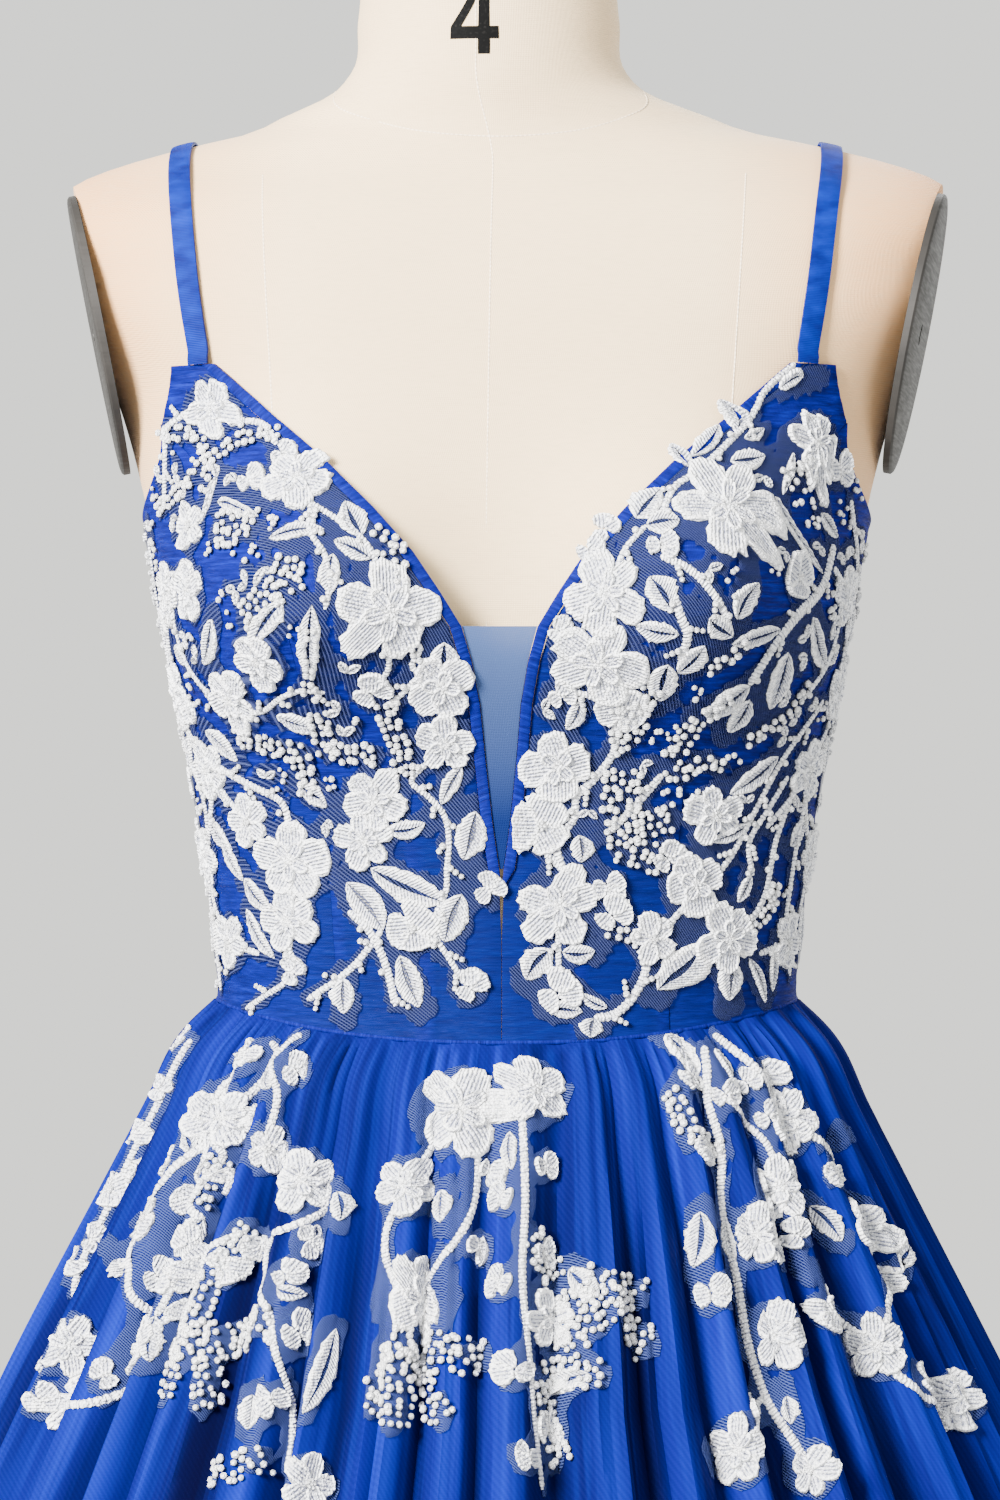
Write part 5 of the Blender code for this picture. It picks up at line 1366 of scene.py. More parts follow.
# Leaves: across and down at the base, across and down at the tip, width.
BODICE_LEAVES = (
    (219, 502, 270, 497, 20), (270, 539, 330, 535, 14), (362, 536, 346, 503, 25),
    (371, 559, 333, 542, 17), (333, 554, 333, 595, 18), (312, 605, 325, 679, 18),
    (444, 642, 441, 680, 25), (282, 601, 270, 634, 20), (213, 619, 209, 665, 25),
    (277, 715, 321, 725, 18), (462, 766, 440, 804, 15), (476, 811, 463, 860, 25),
    (387, 830, 424, 823, 16), (299, 784, 332, 804, 17), (207, 730, 239, 758, 18),
    (203, 761, 227, 800, 15), (223, 833, 244, 879, 14), (246, 878, 271, 910, 18),
    (248, 909, 275, 956, 14), (344, 978, 345, 1014, 20), (347, 882, 384, 929, 26),
    (371, 868, 439, 901, 26), (462, 894, 446, 942, 28), (400, 955, 420, 1008, 22),
    (672, 610, 646, 574, 25), (679, 634, 637, 622, 18), (668, 664, 659, 700, 26),
    (678, 672, 704, 644, 22), (581, 700, 565, 730, 15), (562, 952, 596, 951, 17),
    (551, 949, 527, 980, 24), (547, 1008, 584, 1012, 15), (594, 1018, 594, 1050, 20),
    (607, 1008, 582, 994, 10), (657, 990, 689, 942, 28), (692, 457, 718, 425, 17),
    (688, 467, 681, 444, 12), (636, 519, 659, 490, 24), (646, 526, 681, 522, 22),
    (730, 462, 764, 458, 20), (736, 619, 749, 579, 25), (732, 636, 700, 611, 18),
    (779, 629, 728, 640, 15), (779, 388, 818, 377, 16), (736, 434, 739, 399, 18),
    (744, 439, 763, 429, 10), (782, 495, 786, 435, 12), (774, 497, 791, 536, 13),
    (812, 617, 822, 670, 24), (749, 685, 703, 711, 27), (749, 699, 727, 731, 24),
    (787, 652, 764, 707, 32), (777, 756, 730, 790, 20), (748, 824, 711, 840, 12),
    (750, 875, 737, 903, 12), (729, 958, 728, 1001, 26), (748, 958, 764, 1004, 11),
    (774, 942, 771, 992, 11), (579, 835, 581, 862, 20), (820, 513, 833, 539, 15),
)
# Cords: width, then across and down for each of their points.
BODICE_CORDS = (
    (7, 232, 421, 264, 425, 277, 445),
    (7, 190, 411, 168, 427, 166, 458, 164, 509),
    (6, 310, 503, 342, 523, 358, 535, 376, 562, 384, 590),
    (6, 310, 500, 310, 531, 325, 556, 329, 588, 325, 609),
    (6, 385, 640, 388, 669, 379, 684),
    (6, 399, 640, 420, 647, 412, 665, 432, 680),
    (7, 150, 540, 133, 585, 148, 650, 168, 735, 205, 800, 212, 900, 222, 990),
    (6, 240, 712, 258, 712, 302, 690, 325, 692),
    (6, 418, 676, 399, 696, 386, 705),
    (6, 430, 760, 412, 782, 427, 795, 443, 813, 448, 860, 446, 891, 434, 929, 451, 961, 466, 985),
    (8, 180, 712, 188, 730, 222, 768, 257, 788, 282, 802, 292, 840),
    (6, 289, 940, 293, 972, 264, 997, 247, 1009),
    (7, 382, 930, 353, 967, 338, 980, 308, 1000),
    (8, 349, 911, 371, 933, 381, 952, 396, 1006),
    (7, 797, 360, 764, 392, 744, 426, 731, 440, 693, 475, 677, 485, 662, 517),
    (6, 646, 526, 627, 547, 612, 585),
    (6, 605, 530, 602, 555, 611, 580),
    (9, 672, 590, 681, 617, 687, 631, 680, 660),
    (8, 661, 556, 690, 570, 718, 601, 730, 630),
    (8, 615, 720, 615, 748, 594, 779, 576, 798, 575, 815, 557, 842, 564, 880),
    (6, 558, 930, 559, 980),
    (8, 662, 774, 638, 802, 608, 833),
    (9, 594, 1018, 610, 1016, 640, 985, 650, 950),
    (7, 690, 900, 665, 935),
    (13, 833, 545, 823, 583, 795, 617, 774, 645, 749, 684),
    (7, 822, 700, 780, 762, 752, 815, 729, 858, 712, 880),
    (7, 787, 776, 768, 808, 748, 845, 752, 875),
    (8, 850, 500, 856, 560, 849, 640, 829, 731, 805, 800, 790, 879, 782, 940),
    (8, 800, 770, 775, 840, 762, 900, 748, 925),
    (7, 571, 690, 599, 700, 615, 720),
    (7, 541, 848, 562, 870),
)
# Bead work: width, then across and down for each of its points.
BODICE_BEADS = (
    (9, 277, 432, 242, 439, 212, 460, 206, 490),
    (9, 164, 434, 201, 437, 209, 452, 194, 478, 161, 511),
    (24, 220, 532, 251, 528),
    (9, 376, 531, 397, 544, 400, 580),
    (20, 246, 616, 282, 588, 293, 560),
    (12, 310, 630, 310, 695),
    (14, 385, 705, 400, 749, 405, 775),
    (14, 318, 712, 327, 750, 374, 754),
    (14, 240, 735, 300, 752, 310, 790),
    (14, 672, 755, 699, 717, 728, 700),
    (11, 666, 774, 685, 773, 701, 761, 720, 766),
    (26, 623, 772, 618, 808),
    (15, 650, 690, 632, 732, 615, 745),
    (20, 608, 833, 667, 817),
    (20, 622, 849, 660, 860),
    (9, 806, 685, 790, 711, 772, 726, 748, 740),
    (12, 709, 668, 742, 646),
    (20, 786, 482, 812, 466),
    (10, 772, 884, 771, 904, 750, 930),
    (9, 607, 930, 636, 940),
)
# The side of the bodice that the picture doesn't show, as the turned view would see it.
SIDE_FLOWERS = (
    (566, 588, 26, 5), (602, 690, 27, 5), (556, 770, 27, 5), (604, 862, 25, 5), (560, 950, 24, 5),
)
SIDE_LEAVES = (
    (600, 640, 622, 600, 18), (540, 660, 565, 640, 16), (620, 775, 600, 735, 18),
    (545, 850, 572, 822, 17), (612, 962, 598, 915, 17),
)
SIDE_CORDS = (
    (8, 520, 560, 566, 588, 600, 640, 602, 690, 590, 730, 556, 770, 572, 822, 604, 862),
    (7, 604, 862, 590, 915, 560, 950, 575, 985),
    (7, 500, 700, 540, 660, 566, 588),
    (7, 500, 830, 530, 800, 556, 770),
    (7, 510, 960, 560, 950),
)
SKIRT_FLOWERS = (
    (218, 1120, 29, 5), (268, 1150, 21, 5), (301, 1181, 28, 5), (297, 1332, 19, 0), (309, 1485, 24, 5),
    (70, 1345, 26, 5), (135, 1135, 13, 0), (95, 1240, 14, 0), (40, 1400, 15, 0), (160, 1090, 12, 0),
    (112, 1190, 15, 3), (533, 1090, 32, 5), (460, 1110, 41, 5), (405, 1187, 27, 5),
    (418, 1300, 38, 5), (548, 1320, 26, 5),
    (781, 1187, 30, 5), (758, 1235, 25, 5), (777, 1335, 28, 5), (739, 1450, 30, 5), (691, 1079, 13, 0),
    (746, 1083, 12, 0), (787, 1139, 17, 0), (713, 1294, 17, 0), (797, 1235, 14, 0), (811, 1470, 22, 5),
)
SKIRT_LEAVES = (
    (204, 1219, 163, 1260, 25), (338, 1192, 340, 1222, 16), (316, 1225, 318, 1252, 15),
    (335, 1329, 303, 1412, 20), (252, 1395, 250, 1430, 20), (156, 1316, 147, 1362, 16),
    (443, 1190, 441, 1222, 20), (511, 1132, 511, 1168, 14), (666, 1034, 695, 1069, 22),
    (714, 1050, 730, 1082, 13), (809, 1206, 838, 1241, 20), (701, 1212, 698, 1267, 24),
    (723, 1216, 736, 1260, 13), (768, 1248, 809, 1270, 18), (787, 1396, 790, 1424, 18),
    (271, 1068, 271, 1092, 15), (277, 1288, 305, 1299, 13), (570, 1270, 610, 1300, 22),
    (590, 1374, 552, 1400, 18),
)
SKIRT_CORDS = (
    (8, 192, 1040, 150, 1120, 112, 1200, 75, 1290, 30, 1400),
    (8, 271, 1042, 277, 1091, 270, 1150, 301, 1181, 325, 1206, 273, 1240, 273, 1332, 290, 1396, 288, 1470),
    (9, 255, 1055, 223, 1088, 218, 1120, 223, 1155, 204, 1181, 191, 1206, 204, 1219),
    (10, 204, 1265, 185, 1323, 172, 1364),
    (8, 156, 1316, 204, 1262, 246, 1232),
    (8, 522, 1105, 525, 1203, 522, 1275, 529, 1364, 541, 1490),
    (8, 478, 1110, 462, 1232, 440, 1262, 418, 1300),
    (8, 405, 1187, 386, 1237, 389, 1268, 418, 1300),
    (8, 533, 1090, 460, 1110, 405, 1187),
    (9, 704, 1047, 707, 1091, 720, 1142, 723, 1219, 736, 1275, 749, 1348, 765, 1396, 806, 1460),
    (7, 707, 1088, 742, 1120, 765, 1142, 781, 1187),
    (7, 765, 1396, 742, 1440),
)
SKIRT_BEADS = (
    (24, 391, 1345, 481, 1357), (20, 395, 1350, 394, 1425), (20, 400, 1352, 442, 1418),
    (18, 388, 1350, 374, 1411), (22, 544, 1377, 598, 1374), (22, 540, 1385, 558, 1459),
    (24, 530, 1240, 556, 1275), (26, 575, 1290, 585, 1330, 560, 1350), (24, 590, 1285, 636, 1295),
    (24, 600, 1300, 646, 1345), (18, 245, 1228, 215, 1270, 190, 1330), (24, 184, 1345, 240, 1340, 270, 1325),
    (22, 180, 1350, 165, 1395), (22, 205, 1360, 205, 1405), (18, 218, 1160, 200, 1205),
    (22, 215, 1475, 262, 1460), (18, 672, 1095, 691, 1136, 720, 1150),
)
# Sprays on the skirt's sides, as the turned view would see them; the other side mirrors them.
SKIRT_SIDE_FLOWERS = (
    (470, 1130, 27, 5), (520, 1250, 29, 5), (455, 1370, 28, 5), (545, 1440, 25, 5),
)
SKIRT_SIDE_LEAVES = (
    (500, 1170, 535, 1150, 18), (540, 1300, 575, 1275, 18), (420, 1300, 440, 1345, 18),
)
SKIRT_SIDE_CORDS = (
    (9, 450, 1040, 470, 1130, 500, 1170, 520, 1250, 500, 1310, 455, 1370, 480, 1430, 545, 1440),
    (8, 540, 1300, 510, 1290),
    (8, 420, 1300, 455, 1370),
)

NET_LIFT = 0.00045
NET_THICK = 0.00015
PETAL_LIFT = 0.0007
PETAL_HIGH = 0.0017
PETAL_SECTORS = 24
# Rings of a petal from its middle out, their share of its height, and where the rim begins.
PETAL_RINGS = (0.34, 0.62, 0.78, 0.91, 1.0)
PETAL_STAND = (0.62, 0.50, 0.86, 1.0, 0.45)
PETAL_RIM = 0.70
THREAD_RIDGE = 0.00018
TWIG_STEP = 0.0095
FILLER_APART = 0.0075
LANES_FULLER = 1.5
SMALL_LEAF = 0.0068
FILLER_LOWEST = 1.105
FILLER_BELOW_PEAK = 0.020
BUD_STEP = 0.017
BUD_RADIUS = (0.0060, 0.0085)
BUD_OFF = 0.002
# Flowers wider than this, in the picture's units, have a second ring of petals.
INNER_FROM = 24
LEAF_HIGH = 0.0011
CORD_LIFT = 0.0006
CORD_HIGH = 0.0015
CORD_SIDES = 8
CORD_STEP = 0.0011
CORD_LEAST = 0.0022
# How far before and after a place on a course its heading is read.
COURSE_STEP = 0.002
BEAD_SIZE = 0.0017
KNOT_RINGS = 4
KNOT_SIDES = 6
KNOT_FLAT = 0.8
# The knots in a flower's heart: their number, the turn between them and how far out they lie.
HEART_KNOTS = 6
HEART_TURN = 1.2566
HEART_REACH = 0.13
# How far a twig's first knot stands out from its cord, and each further knot from that.
TWIG_FIRST = 0.0022
TWIG_NEXT = 0.0026
# How much larger the worked motifs are than their drawn outlines.
FULLNESS = 1.16


class Sheet:
    """The face under the lace; places on it are counted in columns and rows of its grid."""

    def __init__(self, points, normals, known, centre):
        self.points = points
        self.normals = normals
        self.known = known
        self.centre = centre
        self.rows, self.columns = points.shape[:2]
        cells = np.argwhere(known)
        a = cells[:, 0] * self.columns + cells[:, 1]
        first = np.stack((a, a + 1, a + self.columns), axis=1)
        second = np.stack((a + 1, a + self.columns + 1, a + self.columns), axis=1)
        self.cells = cells
        faces = np.stack((first, second), axis=1).reshape(-1, 3)
        self.tree = BVHTree.FromPolygons(points.reshape(-1, 3).tolist(), faces.tolist())

    def mix(self, table, places):
        places = np.asarray(places, float)
        c, r = places[..., 0], places[..., 1]
        j = np.clip(np.floor(c).astype(int), 0, self.columns - 2)
        i = np.clip(np.floor(r).astype(int), 0, self.rows - 2)
        s = np.clip(c - j, -1, 2)[..., None]
        t = np.clip(r - i, -1, 2)[..., None]
        top = table[i, j] * (1 - s) + table[i, j + 1] * s
        low = table[i + 1, j] * (1 - s) + table[i + 1, j + 1] * s
        return top * (1 - t) + low * t

    def at(self, places, lift):
        lift = np.asarray(lift, float)[..., None]
        return self.mix(self.points, places) + unit(self.mix(self.normals, places)) * lift

    def find(self, across, down, turn):
        """Column and row of the place that a point of the picture shows."""
        heading = radians(EYE_TURN + turn)
        right = Vector((cos(heading), sin(heading), 0))
        away = Vector((sin(heading), -cos(heading), 0)) * EYE_AWAY
        eye = away + Vector((0, 0, EYE_HEIGHT))
        for step in range(SEARCH_STEPS):
            share = (1 - step / SEARCH_STEPS) * PICTURE_UNIT
            look = right * (across - PICTURE_MIDDLE[0]) * share - away
            look.z += (self.centre - down) * share
            look.z += (PICTURE_MIDDLE[1] - self.centre) * PICTURE_UNIT
            hit, _, index, _ = self.tree.ray_cast(eye, look.normalized())
            if hit is not None:
                break
        else:
            return None
        i, j = self.cells[index // 2]
        upper = index % 2 == 1
        corner = self.points[i + 1, j + 1] if upper else self.points[i, j]
        along = (self.points[i + 1, j] if upper else self.points[i, j + 1]) - corner
        other = (self.points[i, j + 1] if upper else self.points[i + 1, j]) - corner
        s, t = parts_of(np.array(hit) - corner, along, other)
        return (j + 1 - s, i + 1 - t) if upper else (j + s, i + t)

    def local(self, place):
        """The change of column and row for a step to the right and for a step up."""
        column, row = place
        eps = 1.5
        spots = ((column + eps, row), (column - eps, row), (column, row + eps), (column, row - eps))
        spots = np.clip(np.array(spots), 0, (self.columns - 1, self.rows - 1))
        ends = self.mix(self.points, spots)
        along = (ends[0] - ends[1]) / (spots[0, 0] - spots[1, 0])
        other = (ends[2] - ends[3]) / (spots[2, 1] - spots[3, 1])
        normal = unit(np.cross(along, other))
        if np.dot(normal, self.mix(self.normals, np.array(place))) < 0:
            normal = -normal
        side = unit(np.cross((0.0, 0.0, 1.0), normal))
        up = np.cross(normal, side)
        return np.array((parts_of(side, along, other), parts_of(up, along, other)))

    def spots(self, place, moves):
        """Places reached from one place by moves to the right and up."""
        return np.asarray(place) + np.asarray(moves) @ self.local(place)

    def distance(self, first, second):
        """The way from one place to another, as a distance to the right and up."""
        normal = unit(self.mix(self.normals, np.array(first)))
        side = unit(np.cross((0.0, 0.0, 1.0), normal))
        gap = self.mix(self.points, np.array(second)) - self.mix(self.points, np.array(first))
        return np.array((np.dot(gap, side), np.dot(gap, np.cross(normal, side))))


def parts_of(vector, first, second):
    """The shares of two slanting directions that make up a vector."""
    a, b, c = np.dot(first, first), np.dot(first, second), np.dot(second, second)
    d, e = np.dot(vector, first), np.dot(vector, second)
    whole = a * c - b * b
    return (d * c - e * b) / whole, (e * a - d * b) / whole


def rotated(x, y, angle):
    return x * cos(angle) - y * sin(angle), x * sin(angle) + y * cos(angle)


def in_turn(count):
    """1 and -1 by turns, for stitches that lie high and low."""
    return np.where(np.arange(count) % 2, 1.0, -1.0)


def dome_faces(rings, sides):
    """Faces from a first point to the ring round it, and on over the rings after that."""
    faces = []
    for k in range(sides):
        after = (k + 1) % sides
        faces.append((0, 1 + k, 1 + after))
        for i in range(rings):
            a = 1 + i * sides
            faces.append((a + k, a + sides + k, a + sides + after, a + after))
    return faces


class Lace:
    """Motifs on one sheet, and the spots that the net under them has to reach."""

    def __init__(self, sheet, bare=0, reach=0.0017, blend=0.0013):
        self.sheet = sheet
        self.bare = bare
        # How far the net stands out past the motifs, and the softness that fills narrow gaps.
        self.reach = reach
        self.blend = blend
        self.parts = Parts()
        self.rounds = []
        self.runs = []

    def relief(self, place, moves, lifts, cloth):
        """A closed low form: a grid of moves and lifts with a flat underside."""
        rows, columns = lifts.shape
        spots = self.sheet.spots(place, moves.reshape(-1, 2))
        top = self.sheet.at(spots, lifts.reshape(-1))
        rim = rim_of(rows, columns)
        foot = self.sheet.at(spots[rim], np.full(len(rim), NET_LIFT * 0.5))
        count = rows * columns
        faces = grid_faces(rows, columns)
        flip = self.faces_down(top, faces, spots)
        for k in range(len(rim)):
            after = (k + 1) % len(rim)
            faces.append((rim[after], rim[k], count + k, count + after))
        faces.append(tuple(range(count + len(rim) - 1, count - 1, -1)))
        if flip:
            faces = [tuple(face[::-1]) for face in faces]
        cloth = cloth.reshape(-1, 3)
        self.parts.add(np.concatenate((top, foot)), faces, np.concatenate((cloth, cloth[rim])))

    def faces_down(self, points, faces, spots):
        """Whether a few of the faces, taken at even steps, look in to the sheet."""
        total = 0.0
        for face in faces[:: max(1, len(faces) // 12)]:
            if max(face) >= len(spots):
                continue
            a, b, c = (points[k] for k in face[:3])
            normal = self.sheet.mix(self.sheet.normals, spots[face[0]])
            total += np.dot(np.cross(b - a, c - a), normal)
        return total < 0

    def petal(self, place, heading, radius, spread, lift, seed):
        """A round petal: a knotted rim that stands up round a lower field of threads."""
        rng = np.random.default_rng(seed)
        sectors = PETAL_SECTORS
        turn = 2 * pi * np.arange(sectors) / sectors
        comb = in_turn(sectors)
        knob = 0.035 * comb + 0.045 * rng.standard_normal(sectors)
        knob = knob + 0.05 * np.sin(2 * turn + rng.uniform(0, 6))
        ring = np.array(PETAL_RINGS)[:, None]
        reach = ring * (1 + knob[None, :] * ring**2)
        long = radius * 0.50
        wide = radius * 0.56 * tan(min(spread, 1.0)) * rng.uniform(0.92, 1.08)
        across = wide * reach * np.sin(turn) * (1 + 0.24 * np.cos(turn))
        away = radius * 0.53 + long * reach * np.cos(turn)
        bend = rng.uniform(-0.10, 0.10)
        across = across + bend * away
        moves = np.stack(rotated(away, across, heading), axis=-1)
        stand = np.array(PETAL_STAND)[:, None] * (0.62 + 0.38 * (1 + np.cos(turn)) / 2)
        fold = 0.16 * np.sin(turn + rng.uniform(0, 6)) + 0.10 * np.sin(3 * turn + rng.uniform(0, 6))
        lifts = PETAL_HIGH * stand * (1 + fold)
        inner = ring < PETAL_RIM
        lifts = lifts + THREAD_RIDGE * comb * np.where(inner, 1.0, 0.7)
        lifts = PETAL_LIFT + lift + np.maximum(lifts, 0.0)
        shade = np.where(inner, 0.42 + 0.16 * comb, 0.86 + 0.14 * comb) + 0 * reach
        cloth = np.stack((across, away, shade), axis=-1)
        self.lobe(place, moves, lifts, cloth)

    def lobe(self, place, moves, lifts, cloth):
        """A closed low form in rings round its middle, with a flat underside."""
        rings, sectors = lifts.shape
        middle = moves[0].mean(axis=0)
        moves = np.concatenate((middle[None], moves.reshape(-1, 2)))
        lifts = np.concatenate(([lifts[0].mean()], lifts.reshape(-1)))
        cloth = np.concatenate((cloth[0].mean(axis=0)[None], cloth.reshape(-1, 3)))
        spots = self.sheet.spots(place, moves)
        top = self.sheet.at(spots, lifts)
        rim = np.arange(1 + (rings - 1) * sectors, 1 + rings * sectors)
        foot = self.sheet.at(spots[rim], np.full(sectors, NET_LIFT * 0.5))
        faces = dome_faces(rings, sectors)
        faces.append(tuple(range(rings * sectors + sectors, rings * sectors, -1)))
        if self.faces_down(top, faces[: sectors * rings], spots):
            faces = [face[::-1] for face in faces]
        self.parts.add(np.concatenate((top, foot)), faces, np.concatenate((cloth, cloth[rim])))

    def flower(self, row, turn):
        place = self.sheet.find(row[0], row[1], turn)
        radius = row[2] * PICTURE_UNIT * FULLNESS
        seed = int(row[0] * 7 + row[1] * 3)
        start = radians(seed % 72)
        rng = np.random.default_rng(seed)
        self.rounds.append((place, radius))
        if row[3] == 0:
            self.bud(place, radius, start, seed)
            return
        for k in range(row[3]):
            heading = start + 2 * pi * (k + 0.12 * rng.uniform(-1, 1)) / row[3]
            spread = pi / row[3] * rng.uniform(0.88, 1.04)
            size = radius * rng.uniform(0.90, 1.06)
            lift = 0.0003 * (k % 2)
            self.petal(place, heading, size, spread, lift, seed + k + 1)
        if row[2] > INNER_FROM:
            for k in range(row[3]):
                heading = start + 2 * pi * (k + 0.5 + 0.15 * rng.uniform(-1, 1)) / row[3]
                self.petal(place, heading, radius * 0.5, pi / row[3] * 0.8, 0.0009, seed + k + 40)
        for k in range(HEART_KNOTS):
            away = radius * HEART_REACH if k else 0.0
            move = (away * cos(k * HEART_TURN), away * sin(k * HEART_TURN))
            spot = self.sheet.spots(place, [move])[0]
            self.knot(spot, BEAD_SIZE * 0.62, PETAL_LIFT + 0.0013)

    def bud(self, place, radius, heading, seed):
        """Two or three short petals that close over each other."""
        for k, offset in enumerate((-0.55, 0.55)):
            self.petal(place, heading + offset, radius * 1.05, 0.8, 0.0003 * k, seed + k)
        self.petal(place, heading + pi, radius * 0.8, 0.9, 0.0001, seed + 5)

    def leaf(self, row, turn):
        base = self.sheet.find(row[0], row[1], turn)
        tip = self.sheet.find(row[2], row[3], turn)
        half = row[4] * PICTURE_UNIT / 2 * FULLNESS
        self.blade(base, tip, half, int(row[0] * 5 + row[1] * 11))

    def blade(self, base, tip, half, seed):
        """A leaf of two halves of slanting stitches, with a slit between them."""
        way = self.sheet.distance(base, tip)
        length = np.linalg.norm(way)
        along = way / length
        aside = np.array((-along[1], along[0]))
        rng = np.random.default_rng(seed)
        self.runs.append((base, tip, half))
        steps, columns = (17, 6) if length > SMALL_LEAF else (9, 4)
        bend = rng.uniform(-0.10, 0.10)
        share = np.linspace(0, 1, steps)[:, None]
        for side in (-1, 1):
            slit = 0.10 + 0.09 * np.sin(pi * np.clip(share * 1.25, 0, 1))
            across = np.linspace(0, 1, columns)[None, :]
            outline = np.sin(pi * share**0.85) ** 0.75
            jag = 1 + 0.07 * rng.standard_normal((steps, 1))
            wide = half * (slit * outline + (outline * jag - slit * outline) * across)
            centre = share * length + length * 0.05 * across * outline
            curve = bend * length * np.sin(pi * share)
            moves = along * centre[..., None] + aside * (side * wide + curve)[..., None]
            rise = 0.55 + 0.45 * np.sin(pi * np.clip(across * 1.5 - 0.5, 0, 1))
            rise = rise * (0.5 + 0.5 * np.sin(pi * share)) * (1 - 0.5 * across**6)
            comb = in_turn(steps)[:, None]
            lifts = PETAL_LIFT + LEAF_HIGH * rise + THREAD_RIDGE * comb
            stitch = centre - wide * 0.8
            shade = 0.40 + 0.6 * ease(0.45, 0.7, across) + 0.12 * comb
            cloth = np.stack((stitch, wide, np.clip(shade, 0, 1)), axis=-1)
            self.relief(base, moves, lifts, cloth)

    def course(self, row, turn):
        """A smooth run of places through a cord's points."""
        places = [self.sheet.find(row[k], row[k + 1], turn) for k in range(1, len(row), 2)]
        places = np.array([place for place in places if place is not None])
        ends = self.sheet.mix(self.sheet.points, places)
        way = np.concatenate(([0], np.cumsum(np.linalg.norm(np.diff(ends, axis=0), axis=1))))
        return places, way

    def on_course(self, places, way, at):
        """The place at a distance along a course, and the way on from there."""
        here, ahead, behind = (
            np.array([np.interp(spot, way, places[:, c]) for c in (0, 1)])
            for spot in (at, min(at + COURSE_STEP, way[-1]), max(at - COURSE_STEP, 0))
        )
        return here, unit(self.sheet.distance(behind, ahead))

    def run_along(self, places, half):
        """Have the net reach out to a course of the half width given."""
        for first, second in zip(places[:-1], places[1:]):
            self.runs.append((tuple(first), tuple(second), half))

    def cord(self, row, turn):
        places, way = self.course(row, turn)
        if len(places) < 2 or way[-1] < COURSE_STEP:
            return
        half = max(row[0] * PICTURE_UNIT, CORD_LEAST) / 2
        self.run_along(places, half)
        count = max(6, int(way[-1] / CORD_STEP))
        at = np.linspace(0, way[-1], count)
        tables = [[(w, p) for w, p in zip(way, places[:, k])] for k in (0, 1)]
        course = np.stack([smooth(table, 1, at) for table in tables], axis=1)
        fade = np.minimum(1.0, np.minimum(at, way[-1] - at) / 0.003 + 0.45)
        wrap = 1 + 0.14 * in_turn(count)
        widths = half * fade * wrap * 0.92
        heights = CORD_HIGH * 0.5 * fade * wrap
        path = self.sheet.at(course, np.full(count, CORD_LIFT))
        ups = unit(self.sheet.mix(self.sheet.normals, course))
        points, faces = tube(path, widths, heights, ups, CORD_SIDES)
        ring = np.tile(np.arange(CORD_SIDES) / CORD_SIDES, count)
        shade = np.repeat(0.75 + 0.25 * np.sign(wrap - 1), CORD_SIDES)
        shade = np.clip(shade * (0.4 + 0.6 * np.sin(2 * pi * ring)), 0, 1)
        place = (np.repeat(at, CORD_SIDES) + ring * 0.0018, ring * 0.004, shade)
        self.parts.add(points, faces, np.stack(place, axis=1))

    def twigs(self, row, turn):
        """Short rows of knots that stand out from a cord, now on one side and now on the other."""
        places, way = self.course(row, turn)
        rng = np.random.default_rng(int(row[1] * 3 + row[2] * 17))
        count = int(way[-1] / TWIG_STEP)
        for k in range(count):
            at = way[-1] * (k + rng.uniform(0.3, 0.7)) / count
            here, along = self.on_course(places, way, at)
            side = 1 if k % 2 else -1
            slope = radians(rng.uniform(35, 60)) * side
            way_out = np.array(rotated(*along, slope))
            steps = [way_out * (TWIG_FIRST + TWIG_NEXT * step) for step in range(rng.integers(1, 4))]
            for step, spot in enumerate(self.sheet.spots(here, steps)):
                if spot[0] < self.bare + 1:
                    break
                self.sewn_knot(spot, BEAD_SIZE * (0.95 - 0.1 * step))

    def fillers(self, count, low, high, seed):
        """Small leaves and clusters of knots in the wider patches between the motifs."""
        rng = np.random.default_rng(seed)
        spots = rng.uniform((0, 0), (self.sheet.columns - 1, self.sheet.rows - 1), (count, 2))
        away = self.reach - self.net_field(spots)
        cells = np.floor(spots).astype(int)
        known = self.sheet.known[cells[:, 1], cells[:, 0]] & (spots[:, 0] > self.bare + 1)
        taken = []
        for k, spot in enumerate(spots[known & (away > low) & (away < high)]):
            centre = self.sheet.mix(self.sheet.points, spot)
            if not FILLER_LOWEST < centre[2] < PRINCESS_TOP - FILLER_BELOW_PEAK:
                continue
            if any(np.linalg.norm(centre - other) < FILLER_APART for other in taken):
                continue
            taken.append(centre)
            start = rng.uniform(0, 2 * pi)
            if k % 2:
                length = rng.uniform(0.0050, SMALL_LEAF)
                for turn in (start, start + rng.uniform(1.2, 2.2)):
                    tip = self.sheet.spots(spot, [(length * cos(turn), length * sin(turn))])[0]
                    self.blade(tuple(spot), tuple(tip), length * 0.3, int(spot[0] * 9))
                continue
            moves = BEAD_SIZE * rng.normal(0, 1.5, (rng.integers(3, 7), 2))
            for near in self.sheet.spots(spot, moves):
                self.sewn_knot(near, BEAD_SIZE * rng.uniform(0.6, 0.95))

